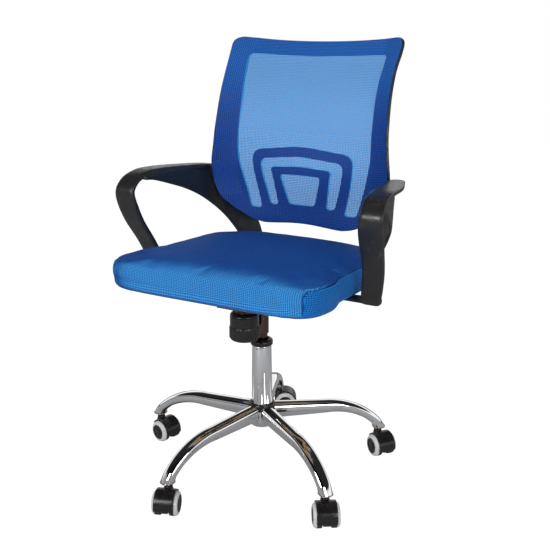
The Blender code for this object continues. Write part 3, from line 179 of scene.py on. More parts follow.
class ShaderParts:
    """Node groups that more than one finish uses, each built once."""

    def __init__(self) -> None:
        """Start with no group built."""
        self._built: dict[str, NodeTree] = {}

    def _group(self, name: str, inputs: dict[str, object], outputs: dict[str, str],
               fill: Callable[[NodeSheet, Node, Node], None]) -> NodeTree:
        """Build a group, or give the one that is there.

        Args:
            name: The group's name.
            inputs: Each input's name, with its default number, or None for a vector.
            outputs: Each output's name and socket type.
            fill: Wires the inside, from the group's input and output nodes.

        Returns:
            The group's node tree.
        """
        if name not in self._built:
            tree = bpy.data.node_groups.new(name, "ShaderNodeTree")
            for key, default in inputs.items():
                kind = "NodeSocketVector" if default is None else "NodeSocketFloat"
                socket = tree.interface.new_socket(key, in_out="INPUT", socket_type=kind)
                if default is not None:
                    socket.default_value = default
            for key, kind in outputs.items():
                tree.interface.new_socket(key, in_out="OUTPUT", socket_type=kind)
            fill(NodeSheet(tree), tree.nodes.new("NodeGroupInput"), tree.nodes.new("NodeGroupOutput"))
            self._built[name] = tree
        return self._built[name]

    def place(self, sheet: NodeSheet, tree: NodeTree, **values: object) -> Node:
        """Put a group into a material.

        Args:
            sheet: The material's nodes.
            tree: The group.
            **values: The group's inputs, by name.

        Returns:
            The group node.
        """
        node = sheet.add("Group", node_tree=tree)
        for key, value in values.items():
            sheet.feed(node.inputs[key], value)
        return node

    def grain(self) -> NodeTree:
        """Fine moulded or cast grain: a height, and a slow blotch that varies gloss."""
        def fill(sheet: NodeSheet, source: Node, result: Node) -> None:
            fine = sheet.add("TexNoise")
            coarse = sheet.add("TexNoise")
            for node, factor, detail in ((fine, 1.0, 3.0), (coarse, 0.03, 5.0)):
                sheet.feed(node.inputs["Vector"], source.outputs["Vector"])
                sheet.feed(node.inputs["Scale"], sheet.maths("MULTIPLY", source.outputs["Scale"], factor))
                node.inputs["Detail"].default_value = detail
            sheet.feed(result.inputs["Height"], fine.outputs["Fac"])
            sheet.feed(result.inputs["Blotch"], sheet.ranged(coarse.outputs["Fac"], 0.3, 0.7))
        return self._group("moulded_grain", {"Vector": None, "Scale": 2500.0},
                           {"Height": "NodeSocketFloat", "Blotch": "NodeSocketFloat"}, fill)

    def wear(self) -> NodeTree:
        """Rubbed edges and short scuffs: a mask from the shape's corners broken up by noise."""
        def fill(sheet: NodeSheet, source: Node, result: Node) -> None:
            corner = sheet.ranged(sheet.add("NewGeometry").outputs["Pointiness"], 0.515, 0.56)
            patch = sheet.add("TexNoise")
            scuff = sheet.add("TexVoronoi", feature="DISTANCE_TO_EDGE")
            for node, factor in ((patch, 0.35), (scuff, 1.0)):
                sheet.feed(node.inputs["Vector"], source.outputs["Vector"])
                sheet.feed(node.inputs["Scale"], sheet.maths("MULTIPLY", source.outputs["Scale"], factor))
            patches = sheet.ranged(patch.outputs["Fac"], 0.52, 0.66)
            lines = sheet.ranged(scuff.outputs["Distance"], 0.0, 0.03, (1.0, 0.0))
            marks = sheet.maths("MULTIPLY", patches, sheet.maths("MAXIMUM", corner, lines))
            mask = sheet.maths("MULTIPLY", marks, source.outputs["Amount"], clamp=True)
            sheet.feed(result.inputs["Mask"], mask)
        return self._group("rubbed_edges", {"Vector": None, "Scale": 60.0, "Amount": 0.5},
                           {"Mask": "NodeSocketFloat"}, fill)

    def dust(self) -> NodeTree:
        """Dust that settles on what faces up, in soft patches."""
        def fill(sheet: NodeSheet, source: Node, result: Node) -> None:
            normal = sheet.add("SeparateXYZ")
            sheet.feed(normal.inputs[0], sheet.add("NewGeometry").outputs["Normal"])
            up = sheet.ranged(normal.outputs["Z"], 0.2, 1.0)
            patch = sheet.add("TexNoise")
            sheet.feed(patch.inputs["Vector"], source.outputs["Vector"])
            patch.inputs["Scale"].default_value = 38.0
            patch.inputs["Detail"].default_value = 8.0
            settled = sheet.maths("MULTIPLY", up, sheet.ranged(patch.outputs["Fac"], 0.35, 0.8))
            sheet.feed(result.inputs["Mask"], sheet.maths("MULTIPLY", settled, source.outputs["Amount"]))
        return self._group("settled_dust", {"Vector": None, "Amount": 0.2}, {"Mask": "NodeSocketFloat"}, fill)

    def lattice(self) -> NodeTree:
        """Woven lattice on a map in metres: yarn height, and the open cells between the yarns."""
        def fill(sheet: NodeSheet, source: Node, result: Node) -> None:
            parts = sheet.add("SeparateXYZ")
            sheet.feed(parts.inputs[0], source.outputs["Vector"])
            turn = sheet.maths("DIVIDE", pi, source.outputs["Pitch"])
            waves = []
            for operation in ("ADD", "SUBTRACT"):
                run = sheet.maths(operation, parts.outputs["X"], parts.outputs["Y"])
                waves.append(sheet.maths("SINE", sheet.maths("MULTIPLY", run, turn)))
            cells = sheet.maths("MULTIPLY", *waves)
            sheet.feed(result.inputs["Height"], sheet.maths("MULTIPLY_ADD", cells, -0.5, 0.5))
            sheet.feed(result.inputs["Open"], sheet.ranged(cells, 0.05, 0.65))
        return self._group("woven_lattice", {"Vector": None, "Pitch": 0.0043},
                           {"Height": "NodeSocketFloat", "Open": "NodeSocketFloat"}, fill)


PARTS = ShaderParts()


def start_material(name: str) -> tuple[Material, NodeSheet, Node]:
    """Make a material with its shader.

    Args:
        name: The material's name.

    Returns:
        The material, its nodes and its Principled BSDF.
    """
    material = bpy.data.materials.new(name)
    material.use_nodes = True
    sheet = NodeSheet(material.node_tree)
    return material, sheet, material.node_tree.nodes["Principled BSDF"]


def raise_surface(sheet: NodeSheet, shader: Node, height: NodeSocket, depth: float,
                  strength: float = 1.0) -> None:
    """Give a shader a bumped normal.

    Args:
        sheet: The material's nodes.
        shader: The Principled BSDF.
        height: The height, from 0 to 1.
        depth: What a height of 1 stands for, in metres.
        strength: The bump's strength.
    """
    bump = sheet.add("Bump")
    bump.inputs["Strength"].default_value = strength
    bump.inputs["Distance"].default_value = depth
    sheet.feed(bump.inputs["Height"], height)
    sheet.feed(shader.inputs["Normal"], bump.outputs["Normal"])


@dataclass(frozen=True)
class MouldedPlastic:
    """Injection-moulded plastic with a fine grain, rubbed edges and a little dust."""

    name: str
    colour: Colour
    roughness: float = 0.40
    grain_scale: float = 2500.0
    grain_depth: float = 0.00006
    wear: float = 0.35
    wear_colour: Colour = (0.16, 0.16, 0.165)
    dust: float = 0.06

    def build(self) -> Material:
        """Make the material."""
        material, sheet, shader = start_material(self.name)
        place = sheet.add("TexCoord").outputs["Object"]
        grain = PARTS.place(sheet, PARTS.grain(), Vector=place, Scale=self.grain_scale)
        wear = PARTS.place(sheet, PARTS.wear(), Vector=place, Scale=70.0, Amount=self.wear).outputs["Mask"]
        dust = PARTS.place(sheet, PARTS.dust(), Vector=place, Amount=self.dust).outputs["Mask"]
        rubbed = sheet.mixed(wear, self.colour, self.wear_colour)
        sheet.feed(shader.inputs["Base Color"], sheet.mixed(dust, rubbed, (0.32, 0.31, 0.29)))
        gloss = sheet.ranged(grain.outputs["Blotch"], 0.0, 1.0,
                             (self.roughness - 0.05, self.roughness + 0.06))
        sheet.feed(shader.inputs["Roughness"], sheet.maths("ADD", gloss, sheet.maths("MULTIPLY", wear, 0.15)))
        raise_surface(sheet, shader, grain.outputs["Height"], self.grain_depth)
        return material


@dataclass(frozen=True)
class PlatedMetal:
    """Bright or dark metal with faint smears in its polish."""

    name: str
    colour: Colour
    roughness: float = 0.06
    smear: float = 0.06
    smear_scale: float = 22.0
    grain_scale: float = 900.0
    grain_depth: float = 0.0
    dust: float = 0.0

    def build(self) -> Material:
        """Make the material."""
        material, sheet, shader = start_material(self.name)
        shader.inputs["Metallic"].default_value = 1.0
        place = sheet.add("TexCoord").outputs["Object"]
        smear = sheet.add("TexNoise")
        sheet.feed(smear.inputs["Vector"], place)
        smear.inputs["Scale"].default_value = self.smear_scale
        smear.inputs["Detail"].default_value = 6.0
        smeared = sheet.ranged(smear.outputs["Fac"], 0.45, 0.75)
        dust = PARTS.place(sheet, PARTS.dust(), Vector=place, Amount=self.dust).outputs["Mask"]
        dull = tuple(channel * 0.9 for channel in self.colour)
        polished = sheet.mixed(smeared, self.colour, dull)
        sheet.feed(shader.inputs["Base Color"], sheet.mixed(dust, polished, (0.30, 0.29, 0.28)))
        rough = sheet.maths("MULTIPLY_ADD", smeared, self.smear, self.roughness)
        sheet.feed(shader.inputs["Roughness"], sheet.maths("ADD", rough, sheet.maths("MULTIPLY", dust, 0.4)))
        if self.grain_depth:
            grain = PARTS.place(sheet, PARTS.grain(), Vector=place, Scale=self.grain_scale)
            raise_surface(sheet, shader, grain.outputs["Height"], self.grain_depth)
        return material


@dataclass(frozen=True)
class PressedBoard:
    """Moulded plywood with long grain."""

    name: str = "seat_board"
    light: Colour = (0.50, 0.34, 0.19)
    dark: Colour = (0.30, 0.18, 0.09)

    def build(self) -> Material:
        """Make the material."""
        material, sheet, shader = start_material(self.name)
        stretch = sheet.add("Mapping")
        stretch.inputs["Scale"].default_value = (60.0, 3.0, 30.0)
        sheet.feed(stretch.inputs["Vector"], sheet.add("TexCoord").outputs["Object"])
        fibre = sheet.add("TexNoise")
        sheet.feed(fibre.inputs["Vector"], stretch.outputs["Vector"])
        fibre.inputs["Scale"].default_value = 1.0
        fibre.inputs["Detail"].default_value = 9.0
        sheet.feed(shader.inputs["Base Color"],
                   sheet.mixed(sheet.ranged(fibre.outputs["Fac"], 0.35, 0.7), self.light, self.dark))
        sheet.feed(shader.inputs["Roughness"], sheet.ranged(fibre.outputs["Fac"], 0.3, 0.8, (0.62, 0.8)))
        raise_surface(sheet, shader, fibre.outputs["Fac"], 0.0002)
        return material


@dataclass(frozen=True)
class SpacerMesh:
    """Royal blue air-mesh upholstery, with painted shade at a slant, in its pits and at its seams; the side
    gusset is a darker cut of it.
    """

    name: str = "seat_air_mesh"
    yarn: Colour = (0.036, 0.235, 0.58)
    # painted shade: the colour that surfaces seen at a slant, such as the top, darken towards
    grazing_shade: Colour = (0.001, 0.046, 0.245)
    # painted shade in the weave's pits and along the seam grooves
    pit: Colour = (0.001, 0.018, 0.12)
    gusset: Colour = (0.008, 0.140, 0.46)
    sheen: Colour = (0.30, 0.66, 1.0)
    pitch: float = 0.0043

    def build(self) -> Material:
        """Make the material."""
        material, sheet, shader = start_material(self.name)
        shader.inputs["Specular IOR Level"].default_value = 0.08
        shader.inputs["Sheen Weight"].default_value = 0.05
        shader.inputs["Sheen Roughness"].default_value = 0.45
        shader.inputs["Sheen Tint"].default_value = (*self.sheen, 1.0)
        weave_map = sheet.add("UVMap", uv_map="cloth").outputs["UV"]
        place = sheet.add("TexCoord").outputs["Object"]
        weave = PARTS.place(sheet, PARTS.lattice(), Vector=weave_map, Pitch=self.pitch)
        blotch = PARTS.place(sheet, PARTS.grain(), Vector=place, Scale=700.0)
        seam = sheet.add("Attribute", attribute_name="seam").outputs["Fac"]
        side = sheet.ranged(seam, -0.5, 0.5)
        groove = sheet.ranged(sheet.maths("ABSOLUTE", seam), 0.4, 2.4, (1.0, 0.0))
        # Painted shade: the yarn darkens where the surface is seen at a slant, so the top reads darker than
        # the front roll.
        edge_on = sheet.add("LayerWeight")
        edge_on.inputs["Blend"].default_value = 0.5
        grazing_shade_share = sheet.ranged(edge_on.outputs["Facing"], 0.22, 0.68)
        yarn = sheet.mixed(side, sheet.mixed(grazing_shade_share, self.yarn, self.grazing_shade), self.gusset)
        # Painted shade: the weave's open cells darken towards the pit colour.
        woven = sheet.mixed(weave.outputs["Open"], yarn, self.pit)
        varied = sheet.mixed(sheet.maths("MULTIPLY", blotch.outputs["Blotch"], 0.12), woven, yarn)
        # Painted shade: the cover darkens towards the pit colour along each seam's groove.
        sheet.feed(shader.inputs["Base Color"],
                   sheet.mixed(sheet.maths("MULTIPLY", groove, 0.7), varied, self.pit))
        sheet.feed(shader.inputs["Roughness"], sheet.ranged(weave.outputs["Height"], 0.2, 0.9, (0.78, 0.48)))
        raise_surface(sheet, shader, weave.outputs["Height"], 0.0011, 0.9)
        return material


@dataclass(frozen=True)
class StretchedMesh:
    """See-through woven mesh with painted backlight: pale where painted light comes through it, deeper where
    the frame backs it.
    """

    name: str = "back_weave"
    # painted backlight: yarn colours over the open window; the backed colours below have none of it
    backlit_top: Colour = (0.008, 0.205, 0.53)
    backlit_low: Colour = (0.030, 0.270, 0.66)
    backed_top: Colour = (0.005, 0.100, 0.40)
    backed_low: Colour = (0.002, 0.052, 0.29)
    # painted shade in the weave's open cells, deeper over the frame
    pit: Colour = (0.001, 0.022, 0.15)
    levels: Point2 = (0.78, 0.95)
    pitch: float = 0.0040
    openness: float = 0.40

    def build(self) -> Material:
        """Make the material."""
        material, sheet, shader = start_material(self.name)
        shader.inputs["Specular IOR Level"].default_value = 0.3
        shader.inputs["Sheen Weight"].default_value = 0.04
        shader.inputs["Sheen Tint"].default_value = (0.4, 0.7, 1.0, 1.0)
        weave_map = sheet.add("UVMap", uv_map="cloth").outputs["UV"]
        weave = PARTS.place(sheet, PARTS.lattice(), Vector=weave_map, Pitch=self.pitch)
        backing = sheet.add("Attribute", attribute_name="backing").outputs["Fac"]
        backed = sheet.ranged(backing, -0.8, 0.8)
        height = sheet.add("SeparateXYZ")
        sheet.feed(height.inputs[0], sheet.add("TexCoord").outputs["Object"])
        rise = sheet.ranged(height.outputs["Z"], *self.levels)
        # Painted backlight: the window's yarn is paler than the yarn over the frame.
        clear = sheet.mixed(rise, self.backlit_low, self.backlit_top)
        deep = sheet.mixed(rise, self.backed_low, self.backed_top)
        yarn = sheet.mixed(backed, clear, deep)
        # Painted shade: the weave's open cells darken towards the pit colour, more over the frame.
        shaded = sheet.maths("MULTIPLY", weave.outputs["Open"], sheet.ranged(backed, 0.0, 1.0, (0.55, 0.85)))
        sheet.feed(shader.inputs["Base Color"], sheet.mixed(shaded, yarn, self.pit))
        sheet.feed(shader.inputs["Roughness"], sheet.ranged(weave.outputs["Height"], 0.2, 0.9, (0.75, 0.5)))
        hole = sheet.maths("MULTIPLY", weave.outputs["Open"], self.openness)
        sheet.feed(shader.inputs["Alpha"], sheet.maths("SUBTRACT", 1.0, hole))
        raise_surface(sheet, shader, weave.outputs["Height"], 0.0006, 0.8)
        return material


class Finish(Enum):
    """Every finish on the chair."""

    NYLON = MouldedPlastic("arm_nylon", (0.013, 0.013, 0.014), roughness=0.33, grain_depth=0.00003, wear=0.30,
                           dust=0.03)
    GLOSS = MouldedPlastic("gloss_black", (0.008, 0.008, 0.009), roughness=0.22, grain_depth=0.000006,
                           wear=0.06, dust=0.02)
    TREAD = MouldedPlastic("wheel_tread", (0.020, 0.020, 0.021), roughness=0.52, grain_scale=1400.0,
                           grain_depth=0.00015, wear=0.3, dust=0.15)
    WHEEL_RING = MouldedPlastic("wheel_ring", (0.56, 0.56, 0.57), roughness=0.42, wear=0.4,
                                wear_colour=(0.30, 0.29, 0.28), dust=0.1)
    CHROME = PlatedMetal("chrome_plate", (0.88, 0.885, 0.90), roughness=0.035, smear=0.05)
    STEEL = PlatedMetal("zinc_steel", (0.56, 0.56, 0.57), roughness=0.26, smear=0.15, grain_depth=0.00002)
    RIM = PlatedMetal("brazed_rim", (0.50, 0.33, 0.25), roughness=0.22, smear=0.15)
    # Black painted cylinder; the brown tint in this metal colour is a painted reflection.
    CYLINDER = PlatedMetal("dark_cylinder", (0.125, 0.080, 0.070), roughness=0.14, smear=0.08)
    ENAMEL = MouldedPlastic("black_enamel", (0.020, 0.019, 0.019), roughness=0.30, grain_scale=900.0,
                            grain_depth=0.00008, wear=0.35, wear_colour=(0.22, 0.21, 0.20))
    BOARD = PressedBoard()
    SEAT = SpacerMesh()
    BACK = StretchedMesh()

    @property
    def material(self) -> Material:
        """The finish's material, built the first time that it is asked for."""
        found = bpy.data.materials.get(self.value.name)
        return found or self.value.build()


# ---- mesh helpers --------------------------------------------------------------------------------------
def closed_mesh(form: BMesh, name: str = "form") -> Mesh:
    """Turn a bmesh into a mesh, merged and, where it is closed, with its faces pointing out.

    Args:
        form: The bmesh, which is freed.
        name: The mesh's name.

    Returns:
        The mesh.
    """
    bmesh.ops.remove_doubles(form, verts=form.verts, dist=WELD)
    if not any(edge.is_boundary for edge in form.edges):
        bmesh.ops.recalc_face_normals(form, faces=form.faces)
    mesh = bpy.data.meshes.new(name)
    form.to_mesh(mesh)
    form.free()
    return mesh


def reopened(mesh: Mesh) -> BMesh:
    """Read a mesh back into a bmesh and remove it."""
    form = bmesh.new()
    form.from_mesh(mesh)
    bpy.data.meshes.remove(mesh)
    return form


def modified(form: BMesh, *steps: tuple[str, dict[str, object]]) -> BMesh:
    """Run modifiers on a bmesh.

    Args:
        form: The bmesh, which is used up.
        *steps: Each modifier's type and settings.

    Returns:
        The result as a new bmesh.
    """
    holder = bpy.data.objects.new("holder", closed_mesh(form))
    bpy.context.scene.collection.objects.link(holder)
    for kind, settings in steps:
        modifier = holder.modifiers.new(kind.lower(), kind)
        for key, value in settings.items():
            setattr(modifier, key, value)
    graph = bpy.context.evaluated_depsgraph_get()
    result = bpy.data.meshes.new_from_object(holder.evaluated_get(graph))
    source = holder.data
    bpy.data.objects.remove(holder)
    bpy.data.meshes.remove(source)
    return reopened(result)


def joined(*forms: BMesh) -> BMesh:
    """Put several bmeshes into one, which may overlap."""
    whole = bmesh.new()
    for form in forms:
        mesh = closed_mesh(form)
        whole.from_mesh(mesh)
        bpy.data.meshes.remove(mesh)
    return whole


def smoothed(form: BMesh, rounds: int, verts: Sequence[BMVert] | None = None) -> None:
    """Move each point halfway to the mean of its neighbours, several times.

    Args:
        form: The form.
        rounds: How often.
        verts: The points that move, or None for all.
    """
    for _ in range(rounds):
        bmesh.ops.smooth_vert(form, verts=verts or form.verts, factor=0.5, use_axis_x=True, use_axis_y=True,
                              use_axis_z=True)


def fused(forms: Sequence[BMesh], voxel: float, rounds: int = 4) -> BMesh:
    """Melt overlapping forms into one moulded skin.

    Args:
        forms: Closed forms, which are used up.
        voxel: The remesh's step.
        rounds: How often the skin is smoothed.

    Returns:
        One closed form.
    """
    skin = modified(joined(*forms), ("REMESH", {"mode": "VOXEL", "voxel_size": voxel}))
    smoothed(skin, rounds)
    return skin


def cut(form: BMesh, *cutters: BMesh) -> BMesh:
    """Take forms out of another with Boolean modifiers.

    Args:
        form: What is cut.
        *cutters: What is taken out; each is used up.

    Returns:
        What is left.
    """
    for cutter in cutters:
        tool = bpy.data.objects.new("cutter", closed_mesh(cutter))
        tool.hide_render = True
        bpy.context.scene.collection.objects.link(tool)
        form = modified(form, ("BOOLEAN", {"operation": "DIFFERENCE", "object": tool}))
        source = tool.data
        bpy.data.objects.remove(tool)
        bpy.data.meshes.remove(source)
    return form


def rounded(corners: Sequence[Point2], radius: float | Sequence[float], steps: int = 4,
            closed: bool = True) -> list[Point2]:
    """Round the corners of a flat outline.

    Args:
        corners: The outline's corners.
        radius: How far from a corner its round starts, for all of them or for each.
        steps: Points in each round, less one.
        closed: Whether the outline's ends meet; the ends of an open one stay sharp.

    Returns:
        The outline's points.
    """
    outline: list[Point2] = []
    count = len(corners)
    for i, corner in enumerate(corners):
        if not closed and i in (0, count - 1):
            outline.append(tuple(corner))
            continue
        here = Vector(corner)
        back = Vector(corners[i - 1]) - here
        ahead = Vector(corners[(i + 1) % count]) - here
        wanted = radius if isinstance(radius, float) else radius[i]
        reach = min(wanted, back.length * 0.48, ahead.length * 0.48)
        start, end = here + back.normalized() * reach, here + ahead.normalized() * reach
        for step in range(steps + 1):
            t = step / steps
            outline.append(tuple((1 - t) ** 2 * start + 2 * t * (1 - t) * here + t * t * end))
    return outline


def spun(profile: Sequence[Point2], segments: int = 64, closed: bool = True) -> BMesh:
    """Spin (radius, height) points about Z.

    Args:
        profile: The outline; an open one starts and ends on the axis.
        segments: Faces round the axis.
        closed: Whether the outline's ends meet.

    Returns:
        The turned form.
    """
    form = bmesh.new()
    verts = [form.verts.new((r, 0.0, z)) for r, z in profile]
    pairs = list(zip(verts, verts[1:]))
    if closed:
        pairs.append((verts[-1], verts[0]))
    edges = [form.edges.new(pair) for pair in pairs]
    bmesh.ops.spin(form, geom=[*verts, *edges], cent=(0, 0, 0), axis=(0, 0, 1), angle=FULL_TURN,
                   steps=segments, use_merge=True)
    bmesh.ops.remove_doubles(form, verts=form.verts, dist=WELD)
    bmesh.ops.recalc_face_normals(form, faces=form.faces)
    return form


def swept(ring: Sequence[Point2], stations: Sequence[Matrix], looped: bool = False) -> BMesh:
    """Extrude a flat ring from station to station.

    Args:
        ring: The ring's points in each station's own XY plane.
        stations: Where the ring goes; a station may also scale it.
        looped: Whether the last station joins the first; otherwise both ends are filled.

    Returns:
        The swept form.
    """
    form = bmesh.new()
    verts = [form.verts.new(stations[0] @ Vector((x, y, 0.0))) for x, y in ring]
    first = edges = [form.edges.new(pair) for pair in zip(verts, verts[1:] + verts[:1])]
    for before, here in zip(stations, stations[1:]):
        made = bmesh.ops.extrude_edge_only(form, edges=edges)["geom"]
        fresh = {part for part in made if isinstance(part, BMVert)}
        bmesh.ops.transform(form, matrix=here @ before.inverted(), verts=list(fresh))
        edges = [part for part in made if isinstance(part, BMEdge) and fresh.issuperset(part.verts)]
    if looped:
        bmesh.ops.bridge_loops(form, edges=[*first, *edges])
    else:
        bmesh.ops.holes_fill(form, edges=form.edges, sides=0)
    bmesh.ops.recalc_face_normals(form, faces=form.faces)
    return form


def oval(power: float = 2.0, points: int = 32) -> list[Point2]:
    """A superellipse of half width and half height 1; a higher power is squarer."""
    ring = []
    for i in range(points):
        angle = FULL_TURN * (i + 0.5) / points
        ring.append(tuple(abs(part) ** (2 / power) * (1 if part > 0 else -1)
                          for part in (cos(angle), sin(angle))))
    return ring


def station(centre: Vector, across: Vector, up: Vector) -> Matrix:
    """A sweep station whose X and Y columns are two half sizes as vectors."""
    normal = across.cross(up).normalized()
    matrix = Matrix((across, up, normal)).transposed().to_4x4()
    matrix.translation = centre
    return matrix


def spline(points: Sequence[Sequence[float]], steps: int) -> list[Vector]:
    """A smooth curve through points of any dimension.

    Args:
        points: The points that it goes through.
        steps: Points from one to the next.

    Returns:
        The curve's points.
    """
    given = [Vector(point) for point in points]
    ends = [2 * given[0] - given[1], *given, 2 * given[-1] - given[-2]]
    curve = []
    for before, start, end, after in zip(ends, ends[1:], ends[2:], ends[3:]):
        for step in range(steps):
            t = step / steps
            square = 2 * before - 5 * start + 4 * end - after
            cube = 3 * start - before - 3 * end + after
            curve.append(0.5 * (2 * start + (end - before) * t + square * t * t + cube * t ** 3))
    return [*curve, given[-1]]


def rod_along(points: Sequence[Vector], radius: float, segments: int = 20) -> BMesh:
    """A round rod that follows points.

    Args:
        points: The rod's centre line.
        radius: Its radius.
        segments: Faces round it.

    Returns:
        The rod.
    """
    stations = []
    side = Vector((0, 1, 0))
    for i, point in enumerate(points):
        ahead, behind = points[min(i + 1, len(points) - 1)], points[max(i - 1, 0)]
        along = (ahead - behind).normalized()
        across = (side - along * side.dot(along)).normalized()
        side = across
        stations.append(station(point, across * radius, along.cross(across) * radius))
    return swept(oval(2.0, segments), stations)


def turned_to(form: BMesh, matrix: Matrix) -> BMesh:
    """Move a form by a matrix and give it back."""
    bmesh.ops.transform(form, matrix=matrix, verts=form.verts)
    return form


def mirrored_copy(form: BMesh) -> BMesh:
    """A copy of a form on the other side of X = 0, its faces still pointing out."""
    other = form.copy()
    bmesh.ops.scale(other, vec=(-1, 1, 1), verts=other.verts)
    bmesh.ops.reverse_faces(other, faces=other.faces)
    return other


@dataclass
class Bench:
    """Takes finished forms, moves them into the frame and puts them on their bodies."""

    axis_foot: Vector
    pieces: list[str] = field(default_factory=list)

    def deliver(self, name: str, form: BMesh, finishes: Sequence[Finish], body: str,
                stands_for: Sequence[str] = (), crease: float = radians(38)) -> Object:
        """Make a piece.

        Args:
            name: The piece's name.
            form: Its shape, laid out from the gas-lift axis.
            finishes: Its finishes, by the faces' material index.
            body: The body that it moves with.
            stands_for: The nodes that it replaces.
            crease: Edges that bend more than this stay sharp.

        Returns:
            The piece.
        """
        bmesh.ops.translate(form, vec=self.axis_foot, verts=form.verts)
        mesh = bpy.data.meshes.new(name)
        form.to_mesh(mesh)
        form.free()
        for finish in finishes:
            mesh.materials.append(finish.material)
        mesh.shade_smooth()
        mesh.set_sharp_from_angle(angle=crease)
        piece = bpy.data.objects.new(name, mesh)
        bpy.context.scene.collection.objects.link(piece)
        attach(piece, body)
        if stands_for:
            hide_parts(*stands_for)
        self.pieces.append(name)
        LOG.info("%s: %d faces on %s", name, len(mesh.polygons), body)
        return piece


# ---- base ----------------------------------------------------------------------------------------------
@dataclass
class StarBase:
    """Five pressed arms welded to a cup, the ring over the joint, and the rims of the caster sockets."""

    arm_count: int = 5
    first_azimuth: float = radians(-15.8)
    stem_circle: float = 0.295
    hub_radius: float = 0.031
    hub_bottom: float = 0.1045
    hub_top: float = 0.1457
    ring_height: float = 0.016
    arm_top: float = 0.157
    arm_fall: float = 0.007
    bend_radius: float = 0.190
    bend_angle: float = radians(46)
    depth: Point2 = (0.040, 0.023)
    width: Point2 = (0.035, 0.030)
    tip_height: float = 0.068
    tip_length: float = 0.031
    tip_reach: float = 0.0015
    cup_wall: float = 0.003
    cup_bore: float = 0.0245
    ring_bore: float = 0.0239
    seat_gap: float = 0.0003
    edge_round: float = 0.0022
    rim_wire: float = 0.0011
    rim_lift: float = 0.0002

    def azimuth(self, index: int) -> float:
        """The azimuth of an arm."""
        return self.first_azimuth + FULL_TURN * index / self.arm_count

    def stem_place(self, index: int) -> Vector:
        """Where a caster's stem axis meets the floor."""
        azimuth = self.azimuth(index)
        return Vector((sin(azimuth), -cos(azimuth), 0)) * self.stem_circle

    def arm_stations(self) -> list[Matrix]:
        """Sweep stations of an arm along -Y: flat, bent, then turned straight down."""
        inner = self.hub_radius - 0.002
        start = self.stem_circle + self.tip_reach - self.bend_radius * sin(self.bend_angle)
        length = start - inner + self.bend_radius * self.bend_angle
        side = Vector((1, 0, 0))
        bend_steps, tip_steps = 22, 7
        runs = [(0.0, inner + (start - inner) * i / 6) for i in range(6)]
        runs += [(self.bend_angle * i / bend_steps, start) for i in range(bend_steps + 1)]
        stations = []
        for angle, flat in runs:
            share = (flat - inner + self.bend_radius * angle) / length
            depth = self.depth[0] + (self.depth[1] - self.depth[0]) * min(1.0, share * 1.15)
            width = self.width[0] + (self.width[1] - self.width[0]) * share
            top = self.arm_top - self.arm_fall * (flat - inner) / (start - inner)
            top -= self.bend_radius * (1 - cos(angle))
            normal = Vector((0, -sin(angle), cos(angle)))
            centre = Vector((0, -flat - self.bend_radius * sin(angle), top)) - normal * depth / 2
            stations.append(station(centre, side * width / 2, normal * depth / 2))
        last, depth = centre, self.depth[1]
        tip = Vector((0, -self.stem_circle - self.tip_reach, self.tip_height))
        for i in range(1, tip_steps + 1):
            t = i / tip_steps
            turn = self.bend_angle + (pi / 2 - self.bend_angle) * (t * (2 - t))
            normal = Vector((0, -sin(turn), cos(turn)))
            pull = 2 * t * (1 - t) * 0.25
            along = Vector((0, -cos(self.bend_angle), -sin(self.bend_angle))) * 0.02
            centre = last.lerp(tip, t) + along * pull
            size = depth + (self.tip_length - depth) * t
            stations.append(station(centre, side * self.width[1] / 2, normal * size / 2))
        return stations

    def build(self, bench: Bench) -> None:
        """Make the base's pieces."""
        radius, top, bottom = self.hub_radius, self.hub_top, self.hub_bottom
        skirt, ceiling = radius - self.cup_wall, top - self.cup_wall
        hub = spun(rounded([(radius, top), (radius + 0.0006, bottom + 0.012), (radius - 0.002, bottom),
                            (skirt - 0.003, bottom), (skirt - 0.001, ceiling), (self.cup_bore, ceiling),
                            (self.cup_bore, top)], self.edge_round))
        bench.deliver("base_hub_cup", hub, [Finish.CHROME], "base", ["base_hub"])
        low = top + self.seat_gap
        high = low + self.ring_height
        ring = spun(rounded([(self.ring_bore, high), (radius - 0.0015, high), (radius + 0.0008, high - 0.004),
                             (radius, low), (self.ring_bore, low)], self.edge_round))
        bench.deliver("hub_cover_ring", ring, [Finish.GLOSS], "base", ["hub_ring"])
        section = oval(2.7, 40)
        stations = self.arm_stations()
        for index in range(self.arm_count):
            turn = Matrix.Rotation(self.azimuth(index), 4, "Z")
            arm = turned_to(swept(section, stations), turn)
            name = f"base_arm_{index + 1}"
            bench.deliver(f"{name}_tube", arm, [Finish.CHROME], "base", [name], radians(60))
            collar = turned_to(self.rim(), turn)
            bench.deliver(f"{name}_rim", collar, [Finish.RIM], "base")

    def rim(self) -> BMesh:
        """The folded rim round the mouth of an arm's socket."""
        wire = self.rim_wire
        half_x, half_y = self.width[1] / 2 - wire * 0.2, self.tip_length / 2 - wire * 0.2
        stations = []
        path = oval(2.7, 44)
        for i, (x, y) in enumerate(path):
            ahead, behind = path[(i + 1) % len(path)], path[i - 1]
            along = Vector(((ahead[0] - behind[0]) * half_x, (ahead[1] - behind[1]) * half_y, 0)).normalized()
            out = along.cross(Vector((0, 0, 1)))
            centre = Vector((x * half_x, y * half_y - self.stem_circle - self.tip_reach,
                             self.tip_height + self.rim_lift))
            stations.append(station(centre, out * wire, Vector((0, 0, wire * 1.2))))
        return swept(oval(2.0, 10), stations, looped=True)


